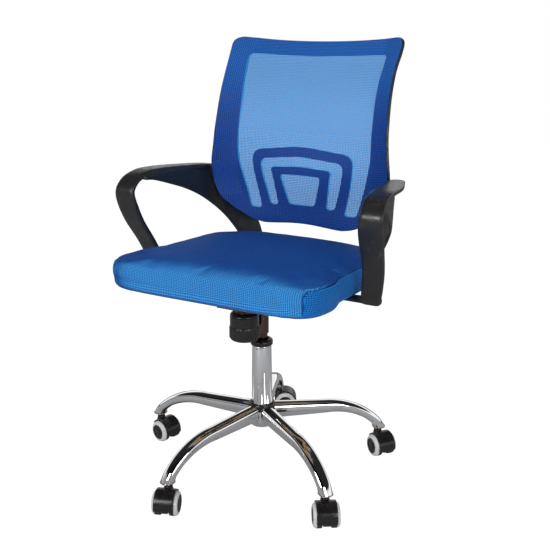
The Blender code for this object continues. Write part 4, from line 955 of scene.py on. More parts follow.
# ---- casters -------------------------------------------------------------------------------------------
@dataclass
class Casters:
    """Twin-wheel casters: a hood over two wheels with pale rings, on an axle and a stem."""

    base: StarBase
    radius: float = 0.0275
    width: float = 0.0190
    spacing: float = 0.0205
    trail: float = 0.020
    hood_width: float = 0.046
    hood_wall: float = 0.0025
    hood_clearance: float = 0.0012
    hood_span: Point2 = (radians(-12), radians(146))
    wheel_gap: float = 0.0007
    hood_voxel: float = 0.0009
    trails: tuple[float, ...] = (20, 32, 52, 118, 74)

    def wheel(self) -> BMesh:
        """A wheel about X, its face towards +X: black disc, pale ring on the shoulder, dark tread."""
        half, tread = self.width / 2, self.radius * 0.997
        profile = [(0.0, half - 0.0004), (tread * 0.30, half - 0.0004), (tread * 0.34, half - 0.0012),
                   (tread * 0.62, half - 0.0010), (tread * 0.66, half - 0.0002)]
        ring_from = len(profile)
        profile += [(tread * 0.70, half), (tread * 0.80, half - 0.0004), (tread * 0.89, half - 0.0017),
                    (tread * 0.95, half - 0.0038), (tread * 0.985, half - 0.0062)]
        tread_from = len(profile)
        profile += [(tread * 0.975, half - 0.0068), (tread, half - 0.0076), (tread, -half + 0.0022),
                    (tread * 0.985, -half + 0.0008), (tread * 0.95, -half), (tread * 0.60, -half),
                    (tread * 0.58, -half + 0.004), (0.0, -half + 0.004)]
        form = spun(profile, 56, closed=False)
        marks = (profile[ring_from][0] - 1e-5, profile[tread_from][1] + 1e-5)
        for face in form.faces:
            centre = face.calc_center_median()
            reach = hypot(centre.x, centre.y)
            on_ring = reach > marks[0] and centre.z > marks[1] - 0.0006
            face.material_index = 1 if on_ring else (2 if reach > tread * 0.93 else 0)
        return turned_to(form, Matrix.Rotation(pi / 2, 4, "Y"))

    def hood(self) -> BMesh:
        """A caster's body about its stem: fender, web between the wheels and stem boss."""
        axle = Vector((0, -self.trail, self.radius))
        inner = self.radius + self.hood_clearance
        middle = inner + self.hood_wall / 2
        (first, last), steps = self.hood_span, 26
        stations = []
        for i in range(steps + 1):
            angle = first + (last - first) * i / steps
            out = Vector((0, -cos(angle), sin(angle)))
            stations.append(station(axle + out * middle, Vector((self.hood_width / 2, 0, 0)),
                                    out * self.hood_wall / 2))
        fender = swept(oval(7.0, 36), stations)
        half = self.spacing / 2 - self.wheel_gap
        rim = inner + 0.0008
        disc = rounded([(0, half), (rim, half), (rim, -half), (0, -half)], 0.001, closed=False)
        on_axle = Matrix.Translation(axle) @ Matrix.Rotation(pi / 2, 4, "Y")
        web = turned_to(spun(disc, 48, closed=False), on_axle)
        below = bmesh.new()
        bmesh.ops.create_cube(below, size=1.0)
        bmesh.ops.scale(below, vec=(0.06, 0.10, 0.04), verts=below.verts)
        bmesh.ops.translate(below, vec=axle + Vector((0, 0, -0.032)), verts=below.verts)
        web = cut(web, below)
        boss = rounded([(0, 0.0635), (0.0094, 0.0635), (0.0094, 0.0585), (0.0105, 0.052), (0.0125, 0.046),
                        (0.0115, 0.035), (0, 0.035)], 0.002, closed=False)
        return fused([fender, web, spun(boss, 40, closed=False)], self.hood_voxel, 3)

    def build(self, bench: Bench) -> None:
        """Make every caster's hood and wheels."""
        hood, wheel = self.hood(), self.wheel()
        offset = self.spacing / 2 + self.width / 2
        for index, degrees in enumerate(self.trails):
            body = f"caster_{index + 1}"
            turn = Matrix.Rotation(radians(degrees), 4, "Z")
            swivel = Matrix.Translation(self.base.stem_place(index)) @ turn
            bench.deliver(f"{body}_cover", turned_to(hood.copy(), swivel), [Finish.GLOSS], body,
                          [f"{body}_hood"])
            axle = swivel @ Matrix.Translation((0, -self.trail, self.radius))
            for side in Side:
                turn = Matrix.Identity(4) if side is Side.LEFT else Matrix.Rotation(pi, 4, "Z")
                place = axle @ Matrix.Translation((side.value * offset, 0, 0)) @ turn
                node = f"{body}_wheel_{side.word}"
                bench.deliver(f"{body}_roller_{side.word}", turned_to(wheel.copy(), place),
                              [Finish.GLOSS, Finish.WHEEL_RING, Finish.TREAD], node, [node])
        hood.free()
        wheel.free()


# ---- gas lift ------------------------------------------------------------------------------------------
@dataclass
class GasLift:
    """Chromed outer tube with pressed flutes, its guide bush, and the dark cylinder that rises from it."""

    tube_bottom: float = 0.1075
    tube_top: float = 0.310
    radii: tuple[float, float, float] = (0.0235, 0.0260, 0.0230)
    wall: float = 0.002
    flute_top: float = 0.217
    flute_depth: float = 0.0045
    shoulder: float = 0.1623
    bush_radius: float = 0.0265
    bush_height: float = 0.0135
    cylinder_radius: float = 0.0140
    collar_radius: float = 0.0168
    sleeve_bottom: float = 0.230
    collar_stop: float = 0.277
    running_gap: float = 0.0003
    rivet_radius: float = 0.0017
    rivet_drop: float = 0.0068

    def tube(self) -> BMesh:
        """The fluted outer tube."""
        foot, flare, top = self.radii
        steps = 26
        outer = [(top - 0.0012, self.tube_top), (top - 0.0003, self.tube_top - 0.0004),
                 (top, self.tube_top - 0.0014)]
        for i in range(steps, -1, -1):
            share = i / steps
            radius = flare - (flare - top) * (0.55 * share ** 0.8 if share < 1 else 0.55)
            outer.append((radius, self.shoulder + (self.flute_top - self.shoulder) * share))
        outer += [(foot, self.shoulder), (foot, self.shoulder - 0.004), (foot - 0.0015, self.tube_bottom)]
        inner = [(0.006, self.tube_bottom), (0.006, self.tube_bottom + 0.003),
                 (foot - 0.006, self.tube_bottom + 0.003), (foot - 0.006, self.flute_top),
                 (top - self.wall, self.flute_top + 0.012), (top - self.wall, self.tube_top)]
        form = spun([*outer, *inner], 128)
        height = self.flute_top - self.shoulder
        for vertex in form.verts:
            x, y, z = vertex.co
            radius = hypot(x, y)
            if self.shoulder - WELD <= z < self.flute_top and radius > foot + 0.0005:
                lobe = cos(2 * atan2(y, x)) ** 2
                depth = self.flute_depth * (1 - lobe) ** 3 * sqrt((self.flute_top - z) / height)
                depth = min(depth, radius - foot - 0.0002)
                vertex.co.x *= (radius - depth) / radius
                vertex.co.y *= (radius - depth) / radius
        return form

    def build(self, bench: Bench) -> None:
        """Make the tube, the bush and the cylinder."""
        bench.deliver("column_outer_tube", self.tube(), [Finish.CHROME], "base", ["column_tube"],
                      radians(50))
        rivet = bmesh.new()
        bmesh.ops.create_uvsphere(rivet, u_segments=20, v_segments=12, radius=self.rivet_radius)
        bmesh.ops.scale(rivet, vec=(1.0, 0.5, 1.0), verts=rivet.verts)
        rivet_place = (0.0, -self.radii[2], self.tube_top - self.rivet_drop)
        bmesh.ops.translate(rivet, vec=rivet_place, verts=rivet.verts)
        bench.deliver("column_rivet", rivet, [Finish.ENAMEL], "base")
        gap = self.running_gap
        low = self.tube_top + gap
        high = low + self.bush_height
        bore = self.cylinder_radius + gap
        wide = self.collar_radius + gap
        sleeve = self.radii[2] - self.wall - gap
        bush = spun(rounded([(wide, high), (wide + 0.003, high), (self.bush_radius - 0.002, high - 0.0012),
                             (self.bush_radius, high - 0.004), (self.bush_radius, low), (sleeve, low),
                             (sleeve, self.sleeve_bottom), (bore, self.sleeve_bottom),
                             (bore, self.collar_stop), (wide, self.collar_stop)], 0.0013))
        bench.deliver("column_guide_bush", bush, [Finish.GLOSS], "base", ["column_bush"])
        r, collar = self.cylinder_radius, self.collar_radius
        cylinder = spun(rounded([(r, 0.190), (r, 0.3385), (collar - 0.0004, 0.339), (collar, 0.3405),
                                 (collar, 0.3785), (collar - 0.0007, 0.3795), (collar - 0.0007, 0.4135),
                                 (r, 0.414), (r - 0.0004, 0.436), (0.0045, 0.436), (0.0045, 0.420),
                                 (r - 0.002, 0.418), (r - 0.002, 0.198), (0.0056, 0.198), (0.0056, 0.190)],
                                0.0005, 2))
        bench.deliver("lift_cylinder", cylinder, [Finish.CYLINDER], "lift", ["gas_cylinder"])


# ---- mechanism -----------------------------------------------------------------------------------------
@dataclass
class TiltMechanism:
    """What shows of the mechanism under the seat: fluted tension knob, its spring, and the height lever."""

    bolt_y: float = -0.080
    knob_radii: Point2 = (0.035, 0.033)
    knob_bottom: float = 0.351
    knob_top: float = 0.415
    neck_radius: float = 0.020
    neck_top: float = 0.4225
    flutes: int = 22
    flute_depth: float = 0.0016
    spring_radius: float = 0.0145
    wire: float = 0.0018
    spring_turns: float = 5.5
    spring_top: float = 0.4307
    knob_floor: float = 0.0083
    knob_travel: float = 0.0078
    lever_height: float = 0.445
    lever_radius: float = 0.0035
    lever_tip: float = -0.215
    lever_drop: float = 0.019
    paddle: tuple[float, float, float] = (0.060, 0.022, 0.008)

    def knob(self) -> BMesh:
        """The tension knob, fluted on its lower half."""
        low, high = self.knob_radii
        bore = self.spring_radius + self.wire + 0.0008
        waist = (self.knob_bottom + self.knob_top) / 2
        bottom, shoulder = self.knob_bottom, self.knob_top
        corners = [(self.neck_radius, self.neck_top), (self.neck_radius, shoulder), (high - 0.007, shoulder),
                   (high - 0.0008, shoulder - 0.004), (high, shoulder - 0.010), (high, waist + 0.001),
                   (low - 0.0002, waist - 0.003), (low, bottom + 0.012), (low, bottom + 0.005),
                   (low - 0.004, bottom), (0.006, bottom), (0.006, bottom + 0.008), (bore, bottom + 0.008),
                   (bore, self.neck_top)]
        form = spun(rounded(corners, 0.0016, 3), self.flutes * 8)
        for vertex in form.verts:
            radius = hypot(vertex.co.x, vertex.co.y)
            if radius > low - 0.0045 and vertex.co.z < waist - 0.001:
                wave = abs(cos(atan2(vertex.co.y, vertex.co.x) * self.flutes / 2)) ** 5
                scale = 1 - self.flute_depth * wave / radius
                vertex.co.x *= scale
                vertex.co.y *= scale
        return turned_to(form, Matrix.Translation((0, self.bolt_y, 0)))

    def spring(self) -> BMesh:
        """The compression spring inside the knob's neck."""
        low, high = self.knob_bottom + self.knob_floor + self.wire, self.spring_top - self.wire
        count = int(self.spring_turns * 24)
        line = [Vector((self.spring_radius * cos(FULL_TURN * i / 24), self.bolt_y
                        + self.spring_radius * sin(FULL_TURN * i / 24), low + (high - low) * i / count))
                for i in range(count + 1)]
        return rod_along(line, self.wire, 10)

    def lever(self) -> tuple[BMesh, BMesh]:
        """The lever's rod and its paddle."""
        low = self.lever_height - self.lever_drop
        z = self.lever_height
        route = [Vector((0.014, 0, z)), Vector((-0.03, 0, z)),
                 *spline([(-0.062, 0, z), (-0.074, 0, z), (-0.100, 0, z - 0.010), (-0.124, 0, low),
                          (-0.160, 0, low), (self.lever_tip, 0, low)], 8)]
        length, depth, height = self.paddle
        middle = self.lever_tip - length / 2 + 0.030
        stations = []
        for share in (0.0, 0.02, 0.08, 0.3, 0.7, 0.92, 0.98, 1.0):
            edge = min(share, 1 - share)
            full = 0.62 + 0.38 * sqrt(min(1.0, edge / 0.08))
            centre = Vector((middle + length * (0.5 - share), 0, low))
            stations.append(station(centre, Vector((0, depth / 2 * full, 0)),
                                    Vector((0, 0, height / 2 * full))))
        return rod_along(route, self.lever_radius), swept(oval(4.0, 32), stations)

    def build(self, bench: Bench) -> None:
        """Make the knob, the spring and the lever."""
        bench.deliver("tension_hand_knob", self.knob(), [Finish.GLOSS], "knob",
                      ["tension_knob"], radians(55))
        coil = bench.deliver("tension_coil", self.spring(), [Finish.STEEL], "lift",
                             ["tension_spring"])
        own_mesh(coil)
        rod, paddle = self.lever()
        bench.deliver("height_lever_rod", rod, [Finish.STEEL], "lever", ["lever_rod"], radians(60))
        bench.deliver("height_lever_paddle", paddle, [Finish.GLOSS], "lever",
                      ["lever_paddle"])


# ---- seat ----------------------------------------------------------------------------------------------
@dataclass
class SeatCushion:
    """Foam cushion under a sewn cover: a strip that runs over the top and the front roll, and two gussets."""

    tilt: float = radians(4.3)
    pan_height: float = 0.4645
    half_width: float = 0.2500
    flare: float = 0.0160
    flare_from: float = -0.075
    flare_full: float = -0.160
    front: float = -0.276
    rear: float = 0.232
    rounding: float = 7.5
    underside: float = 0.0103
    lip_bottom: float = 0.0005
    lip_from: float = 0.93
    seam_height: float = 0.063
    insets: Point2 = (0.016, 0.005)
    fullest: float = 0.62
    crown: Point2 = (0.021, 0.026)
    slack: float = 0.0035
    swell_limit: float = 0.006
    voxel: float = 0.0055
    roll_radius: float = 0.040
    rounding_passes: int = 6
    still_above: float = 0.004
    cloth_pressure: float = 4.0
    cloth_frames: int = 20
    groove: Point2 = (0.0024, 1.9)      # depth, half width in millimetres
    welt: tuple[float, float, float] = (0.0011, 4.6, 2.4)   # height; offset and half width in millimetres
    ripple: Point2 = (0.0005, 26.0)     # height, waves in a metre

    def frame(self) -> Matrix:
        """The seat's own frame: z = 0 is the underside of the pan."""
        return Matrix.Translation((0, 0, self.pan_height)) @ Matrix.Rotation(-self.tilt, 4, "X")

    def half_at(self, y: float) -> float:
        """Half the width at a place from front to rear."""
        share = min(1.0, max(0.0, (self.flare_from - y) / (self.flare_from - self.flare_full)))
        return self.half_width + self.flare * share * share * (3 - 2 * share)

    def plan(self, across: float, along: float, inset: float) -> Point2:
        """Map a square from -1 to 1 onto the seat's rounded plan."""
        reach = max(abs(across), abs(along), 1e-9)
        power = self.rounding
        edge = (abs(across / reach) ** power + abs(along / reach) ** power) ** (-1 / power)
        y = (self.front + self.rear) / 2 + along * edge * ((self.rear - self.front) / 2 - inset)
        return across * edge * (self.half_at(y) - inset), y

    def side_inset(self, share: float) -> float:
        """How far the side lies inside its fullest line, from the bottom (0) to the seam (1)."""
        low, high = self.insets
        if share < self.fullest:
            return low * ((self.fullest - share) / self.fullest) ** 2
        return high * ((share - self.fullest) / (1 - self.fullest)) ** 2

    def block(self) -> BMesh:
        """The foam before it is covered, in the seat's own frame."""
        form = bmesh.new()
        bmesh.ops.create_cube(form, size=2.0)
        bmesh.ops.subdivide_edges(form, edges=form.edges, cuts=27, use_grid_fill=True)
        front_crown, rear_crown = self.crown
        for vertex in form.verts:
            across, along, level = vertex.co
            share = (level + 1) / 2
            x, y = self.plan(across, along, self.side_inset(share) + self.slack)
            crown = front_crown + (rear_crown - front_crown) * (along + 1) / 2
            dome = (1 - abs(across) ** 3.5) * (1 - abs(along) ** 5) if share > 0.999 else 0.0
            rim = max(abs(across), abs(along)) > self.lip_from
            low = self.lip_bottom if rim else self.underside
            z = low + (self.seam_height - low) * share + crown * dome
            vertex.co = (x, y, z - self.slack * share)
        return form

    def covered(self) -> BMesh:
        """The foam swollen by a short cloth simulation, then smoothed."""
        form = modified(self.block(), ("REMESH", {"mode": "VOXEL", "voxel_size": self.voxel}))
        for _ in range(self.rounding_passes):
            smoothed(form, 1, [v for v in form.verts if v.co.z > self.underside + self.still_above])
        form = self.inflated(form)
        smoothed(form, 1)
        bmesh.ops.subdivide_edges(form, edges=form.edges, cuts=1, use_grid_fill=True, smooth=0.6)
        return form

    def inflated(self, form: BMesh) -> BMesh:
        """Swell a closed form with Blender's cloth, each point by no more than the limit.

        Args:
            form: The form, which is used up.

        Returns:
            The swollen form.
        """
        mesh = closed_mesh(form)
        holder = bpy.data.objects.new("cushion_cloth", mesh)
        bpy.context.scene.collection.objects.link(holder)
        rest = np.array([vertex.co for vertex in mesh.vertices])
        cloth = holder.modifiers.new("cloth", "CLOTH")
        cloth.settings.use_pressure = True
        cloth.settings.uniform_pressure_force = self.cloth_pressure
        cloth.settings.quality = 5
        cloth.settings.effector_weights.gravity = 0.0
        cloth.collision_settings.use_collision = False
        scene = bpy.context.scene
        for number in range(1, self.cloth_frames + 1):
            scene.frame_set(number)
        graph = bpy.context.evaluated_depsgraph_get()
        swollen = bpy.data.meshes.new_from_object(holder.evaluated_get(graph))
        bpy.data.objects.remove(holder)
        bpy.data.meshes.remove(mesh)
        scene.frame_set(1)
        places = np.array([vertex.co for vertex in swollen.vertices])
        moves = places - rest
        lengths = np.linalg.norm(moves, axis=1, keepdims=True)
        moves *= np.minimum(1.0, self.swell_limit / np.maximum(lengths, 1e-9))
        grip = np.clip((rest[:, 2:3] - self.underside) / 0.012, 0.0, 1.0)
        swollen.vertices.foreach_set("co", (rest + moves * grip).astype(np.float32).ravel())
        return reopened(swollen)

    def seam_line(self, side: Side, skin: BVHTree) -> list[tuple[Vector, Vector]]:
        """The seam round one gusset, as points on the skin with the skin's normal.

        Args:
            side: Which gusset.
            skin: The cover, for finding the nearest points.

        Returns:
            (point, normal) pairs from the bottom rear, along the side, to the bottom front.
        """
        across = 0.985
        low = (self.underside + 0.004, self.seam_height - 0.012)
        front = [(across - 0.05, -0.985, z) for z in (low[0], 0.5 * sum(low), low[1])]
        rear = [(across - 0.05, 0.985, z) for z in (low[0], 0.5 * sum(low), low[1])]
        top = [(across - 0.01, 0.90 - 1.78 * i / 12, self.seam_height + 0.002) for i in range(13)]
        line = []
        for a, b, z in spline([*rear, *top, *reversed(front)], 6):
            x, y = self.plan(side.value * a, b, self.side_inset(min(1.0, z / self.seam_height)))
            place, normal, _, _ = skin.find_nearest(Vector((x, y, z)))
            line.append((place, normal))
        return line

    def sewn(self, form: BMesh) -> BMesh:
        """Press the seams into the cover and note each point's distance from them."""
        skin = BVHTree.FromBMesh(form)
        form.normal_update()
        form.verts.ensure_lookup_table()
        places = np.array([vertex.co for vertex in form.verts])
        signed = np.full(len(places), -1.0e3)
        for side in Side:
            line = self.seam_line(side, skin)
            points = np.array([place for place, _ in line])
            tangents = np.gradient(points, axis=0)
            outs = np.cross(tangents, np.array([normal for _, normal in line]))
            outs *= -side.value
            distance = np.full(len(places), 1.0e3)
            sign = np.full(len(places), -1.0)
            for start, end, out in zip(points, points[1:], outs):
                run = end - start
                t = np.clip(((places - start) @ run) / max(run @ run, 1e-12), 0.0, 1.0)
                gap = places - (start + t[:, None] * run)
                far = np.linalg.norm(gap, axis=1)
                nearer = far < distance
                distance[nearer] = far[nearer]
                sign[nearer] = np.sign(gap[nearer] @ out)
            mine = places[:, 0] * side.value > 0
            signed[mine] = (distance * sign)[mine]
        layer = form.verts.layers.float.new("seam")
        sunk, sunk_width = self.groove
        raised, raised_at, raised_width = self.welt
        height, waves = self.ripple
        for vertex, value in zip(form.verts, signed):
            away = value * 1000
            vertex[layer] = away
            press = raised * np.exp(-((abs(away) - raised_at) / raised_width) ** 2)
            press -= sunk * np.exp(-(away / sunk_width) ** 2)
            ripple = height * noise.noise(vertex.co * waves)
            if vertex.co.z > self.underside + 0.003:
                vertex.co += vertex.normal * float(press + ripple)
        return form

    def mapped(self, form: BMesh) -> BMesh:
        """Lay the cloth map in metres: along the strip over the roll, and flat on the gussets."""
        layer = form.verts.layers.float["seam"]
        cloth = form.loops.layers.uv.new("cloth")
        centre_y = self.front + self.roll_radius
        centre_z = self.seam_height + self.crown[0] - self.roll_radius
        for face in form.faces:
            on_gusset = sum(vertex[layer] for vertex in face.verts) > 0
            for loop in face.loops:
                x, y, z = loop.vert.co
                if on_gusset:
                    loop[cloth].uv = (y, z)
                elif y > centre_y:
                    loop[cloth].uv = (x, y if z > centre_z else 2 * centre_z - z)
                else:
                    angle = atan2(centre_y - y, z - centre_z)
                    loop[cloth].uv = (x, centre_y - self.roll_radius * angle)
        return form

    def build(self, bench: Bench) -> None:
        """Make the cushion."""
        form = turned_to(self.mapped(self.sewn(self.covered())), self.frame())
        piece = bench.deliver("seat_pad", form, [Finish.SEAT], "seat", ["seat_cushion"],
                              radians(80))


# ---- armrests ------------------------------------------------------------------------------------------
@dataclass
class Armrests:
    """One-piece moulded loops: a ribbon over the front and top, and a strap down behind the seat."""

    seat: SeatCushion
    ribbon: tuple[tuple[float, float, float, float], ...] = (
        (0.2785, -0.0245, 0.4720, 0.0470), (0.2840, -0.0340, 0.5000, 0.0490),
        (0.2920, -0.0520, 0.5400, 0.0500), (0.2990, -0.0810, 0.5880, 0.0530),
        (0.3020, -0.1000, 0.6300, 0.0550), (0.3040, -0.1065, 0.6600, 0.0520),
        (0.3035, -0.0990, 0.6800, 0.0510), (0.3015, -0.0760, 0.6980, 0.0500),
        (0.2985, -0.0380, 0.7075, 0.0510), (0.2950, 0.0000, 0.7085, 0.0520),
        (0.2885, 0.0500, 0.7060, 0.0520), (0.2785, 0.0950, 0.7030, 0.0490),
        (0.2665, 0.1400, 0.7000, 0.0440), (0.2605, 0.1700, 0.6970, 0.0360),
        (0.2550, 0.1950, 0.6930, 0.0240),
    )
    ribbon_thickness: float = 0.013
    strap: tuple[tuple[tuple[float, float, float], tuple[float, float, float]], ...] = (
        ((0.2745, -0.062, 0.6880), (0.2745, -0.062, 0.6960)),
        ((0.2710, -0.030, 0.6830), (0.2710, -0.030, 0.7000)),
        ((0.2655, 0.021, 0.6670), (0.2665, 0.021, 0.7010)),
        ((0.2590, 0.080, 0.6460), (0.2600, 0.075, 0.6990)),
        ((0.2515, 0.130, 0.6220), (0.2545, 0.125, 0.6970)),
        ((0.2430, 0.176, 0.5920), (0.2490, 0.178, 0.6945)),
        ((0.2320, 0.212, 0.5600), (0.2290, 0.222, 0.6680)),
        ((0.2180, 0.232, 0.5300), (0.2020, 0.250, 0.6200)),
        ((0.2030, 0.243, 0.5020), (0.1790, 0.269, 0.5720)),
        ((0.1900, 0.250, 0.4780), (0.1600, 0.282, 0.5250)),
        ((0.1790, 0.250, 0.4560), (0.1520, 0.284, 0.4760)),
        ((0.1710, 0.240, 0.4460), (0.1520, 0.260, 0.4370)),
    )
    strap_thickness: float = 0.010
    foot_thickness: float = 0.007
    foot_gap: float = 0.0003
    front_foot_x: Point2 = (0.135, 0.299)
    front_foot_y: Point2 = (-0.0235, 0.0200)
    heel_radius: float = 0.013
    heel_overlap: float = 0.006
    rear_foot_x: Point2 = (0.138, 0.200)
    rear_foot_y: Point2 = (0.120, 0.256)
    voxel: float = 0.0017

    def ribbon_form(self) -> BMesh:
        """The ribbon from above the front foot over the top."""
        middle = Vector((0.27, 0.06, 0.58))
        route = spline(self.ribbon, 6)
        stations = []
        for i, here in enumerate(route):
            ahead, behind = route[min(i + 1, len(route) - 1)], route[max(i - 1, 0)]
            along = Vector((0, ahead[1] - behind[1], ahead[2] - behind[2])).normalized()
            inward = Vector((0, -along.z, along.y))
            centre = Vector(here[:3])
            if inward.dot(middle - centre) < 0:
                inward.negate()
            half = self.ribbon_thickness / 2
            stations.append(station(centre + inward * half, Vector((here[3] / 2, 0, 0)), inward * half))
        return swept(oval(5.0, 40), stations)

    def strap_form(self) -> BMesh:
        """The strap from inside the ribbon down behind the seat."""
        lower = spline([edge[0] for edge in self.strap], 6)
        upper = spline([edge[1] for edge in self.strap], 6)
        stations = []
        for i, (low, high) in enumerate(zip(lower, upper)):
            ahead, behind = min(i + 1, len(lower) - 1), max(i - 1, 0)
            along = (lower[ahead] + upper[ahead] - lower[behind] - upper[behind]).normalized()
            normal = along.cross(high - low).normalized()
            stations.append(station((low + high) / 2, (high - low) / 2, normal * self.strap_thickness / 2))
        return swept(oval(6.0, 40), stations)

    def feet(self) -> list[BMesh]:
        """Both feet under the pan and the heel that joins the front one to the ribbon."""
        tilt = self.seat.frame()
        top = -self.foot_gap
        forms = []
        spans = ((self.front_foot_x[0], self.front_foot_x[1] - 0.012, self.front_foot_y),
                 (*self.rear_foot_x, self.rear_foot_y))
        for x_low, x_high, (y_low, y_high) in spans:
            foot = bmesh.new()
            bmesh.ops.create_cube(foot, size=1.0)
            bmesh.ops.scale(foot, vec=(x_high - x_low, y_high - y_low, self.foot_thickness), verts=foot.verts)
            bmesh.ops.translate(foot, vec=((x_low + x_high) / 2, (y_low + y_high) / 2,
                                           top - self.foot_thickness / 2), verts=foot.verts)
            forms.append(turned_to(foot, tilt))
        first = self.ribbon[0]
        bottom = self.seat.pan_height + top - self.foot_thickness
        left, right = first[0] - first[3] / 2, first[0] + first[3] / 2
        heel_top = first[2] + self.heel_overlap
        outline = rounded([(left, bottom), (right, bottom), (right, heel_top), (left, heel_top)],
                          self.heel_radius, 6)
        y_low = self.front_foot_y[0] - 0.0005
        stations = [Matrix.Translation((0, y, 0)) @ Matrix.Rotation(pi / 2, 4, "X")
                    for y in (y_low, y_low + self.ribbon_thickness)]
        forms.append(swept(outline, stations))
        return forms

    def build(self, bench: Bench) -> None:
        """Make both armrests."""
        left = fused([self.ribbon_form(), self.strap_form(), *self.feet()], self.voxel, 5)
        right = mirrored_copy(left)
        for side, form in ((Side.LEFT, left), (Side.RIGHT, right)):
            bench.deliver(f"arm_loop_{side.word}", form, [Finish.NYLON], "seat",
                          [f"armrest_{side.word}"], radians(70))


# ---- back ----------------------------------------------------------------------------------------------
@dataclass
class Backrest:
    """Moulded frame with lumbar arches, bosses for the armrests, and the mesh stretched over it."""

    stations: tuple[tuple[float, float, float], ...] = (
        (0.551, 0.108, 0.1780), (0.557, 0.138, 0.1765), (0.570, 0.168, 0.1760), (0.587, 0.193, 0.1770),
        (0.616, 0.2185, 0.1785), (0.653, 0.2345, 0.1755), (0.700, 0.2365, 0.1690), (0.745, 0.2315, 0.1705),
        (0.796, 0.227, 0.1760), (0.874, 0.223, 0.1970), (0.932, 0.222, 0.2240), (0.972, 0.2245, 0.2510),
        (0.994, 0.2240, 0.2640), (1.003, 0.216, 0.2670), (1.006, 0.202, 0.2670),
    )
    trimmed: tuple[tuple[float, float], ...] = ((0.551, 0.2185), (0.616, 0.2185), (0.653, 0.0), (0.932, 0.0),
                                                (0.972, 0.2245), (1.006, 0.2245))
    wrap: float = 0.034
    member: float = 0.055
    top_dip: float = 0.0115
    bottom_rise: float = 0.007
    bulge: float = 0.013
    bulge_centre: float = 0.675
    bulge_half: Point2 = (0.160, 0.115)
    thickness: float = 0.006
    mesh_lift: float = 0.0016
    hem: float = 0.0040
    stretch: float = 1.03
    window: tuple[Point2, ...] = ((0.145, 0.588), (0.172, 0.685), (0.180, 0.730), (0.177, 0.873),
                                  (0.184, 0.966), (0.0, 0.960))
    outer_arch: tuple[Point2, ...] = ((0.113, 0.588), (0.132, 0.675), (0.138, 0.736), (0.0, 0.752))
    outer_inside: tuple[Point2, ...] = ((0.088, 0.600), (0.108, 0.675), (0.113, 0.716), (0.0, 0.728))
    inner_arch: tuple[Point2, ...] = ((0.0655, 0.600), (0.0765, 0.675), (0.082, 0.697), (0.0, 0.704))
    inner_inside: tuple[Point2, ...] = ((0.035, 0.605), (0.0525, 0.670), (0.053, 0.681), (0.0, 0.683))
    corners: Point2 = (0.010, 0.030)
    boss_radius: float = 0.011
    boss_place: Point2 = (0.228, 0.632)
    boss_x: Point2 = (0.178, 0.2185)
    boss_pad: tuple[float, float, float] = (0.022, 0.022, 0.026)
    boss_pad_at: Point2 = (0.0125, -0.0035)
    boss_voxel: float = 0.0012
    frame_grid: tuple[int, float] = (96, 0.006)         # columns, height of a row
    mesh_grid: tuple[int, float] = (200, 0.0024)

    def smooth_outline(self) -> list[Vector]:
        """The stations as a smooth curve of (height, half width, y)."""
        return spline(self.stations, 8)

    def point(self, across: float, row: Vector) -> Vector:
        """A point of the front surface.

        Args:
            across: From -1 to 1 between the outer edges.
            row: Height, half width and outer-edge y of the row.

        Returns:
            The point.
        """
        height, half, edge_y = row
        x = across * half
        untrimmed = max(half, float(np.interp(height, *zip(*self.trimmed))))
        share = min(1.0, max(0.0, (abs(x) - (untrimmed - self.member)) / self.member))
        bump = max(0.0, 1 - (x / self.bulge_half[0]) ** 2)
        swell = max(0.0, 1 - ((height - self.bulge_centre) / self.bulge_half[1]) ** 2)
        y = edge_y + self.wrap * (1 - share ** 1.5) - self.bulge * bump ** 2 * swell ** 2
        middle = 1 - across ** 2
        bottom, top = self.stations[0][0], self.stations[-1][0]
        rise = self.bottom_rise * middle ** 2 * max(0.0, 1 - (height - bottom) / 0.05)
        dip = self.top_dip * middle * max(0.0, 1 - (top - height) / 0.06)
        return Vector((x, y, height - dip + rise))

    def surface(self, columns: int, spacing: float, lift: float) -> BMesh:
        """The back's front surface as a grid.

        Args:
            columns: Faces across.
            spacing: The largest height of a face.
            lift: How far in front of the frame it lies.

        Returns:
            The open surface.
        """
        outline = self.smooth_outline()
        rows = [outline[0]]
        for here, ahead in zip(outline, outline[1:]):
            steps = max(1, round((ahead[0] - here[0]) / spacing))
            rows += [here.lerp(ahead, (i + 1) / steps) for i in range(steps)]
        form = bmesh.new()
        bmesh.ops.create_grid(form, x_segments=columns, y_segments=len(rows) - 1, size=1.0)
        count = len(rows) - 1
        for vertex in form.verts:
            row = rows[round((vertex.co.y + 1) / 2 * count)]
            across = sin(pi / 2 * vertex.co.x)
            vertex.co = self.point(across, row)
        bmesh.ops.recalc_face_normals(form, faces=form.faces)
        form.normal_update()
        if sum(face.normal.y for face in form.faces) > 0:
            bmesh.ops.reverse_faces(form, faces=form.faces)
            form.normal_update()
        for vertex, normal in [(vertex, vertex.normal.copy()) for vertex in form.verts]:
            vertex.co += normal * lift
        return form

    def openings(self) -> list[list[Point2]]:
        """Outlines of the frame's openings: the window, the slot between the arches, and the inmost one."""
        foot, bow = self.corners

        def over(half: Sequence[Point2], radii: Sequence[float]) -> list[tuple[Point2, float]]:
            right = list(zip(half, radii))
            return [*right, *[((-x, z), radius) for (x, z), radius in reversed(right[:-1])]]
        wide = over(self.window, (foot, bow, bow, bow, foot, bow))
        arches = [over(half, (foot, bow, bow, bow))
                  for half in (self.outer_arch, self.outer_inside, self.inner_arch, self.inner_inside)]
        outlines = []
        for outer, inner in ((wide, arches[0]), (arches[1], arches[2]), (arches[3], [])):
            points, radii = zip(*outer, *reversed(inner))
            outlines.append(rounded(points, radii, 8))
        return outlines

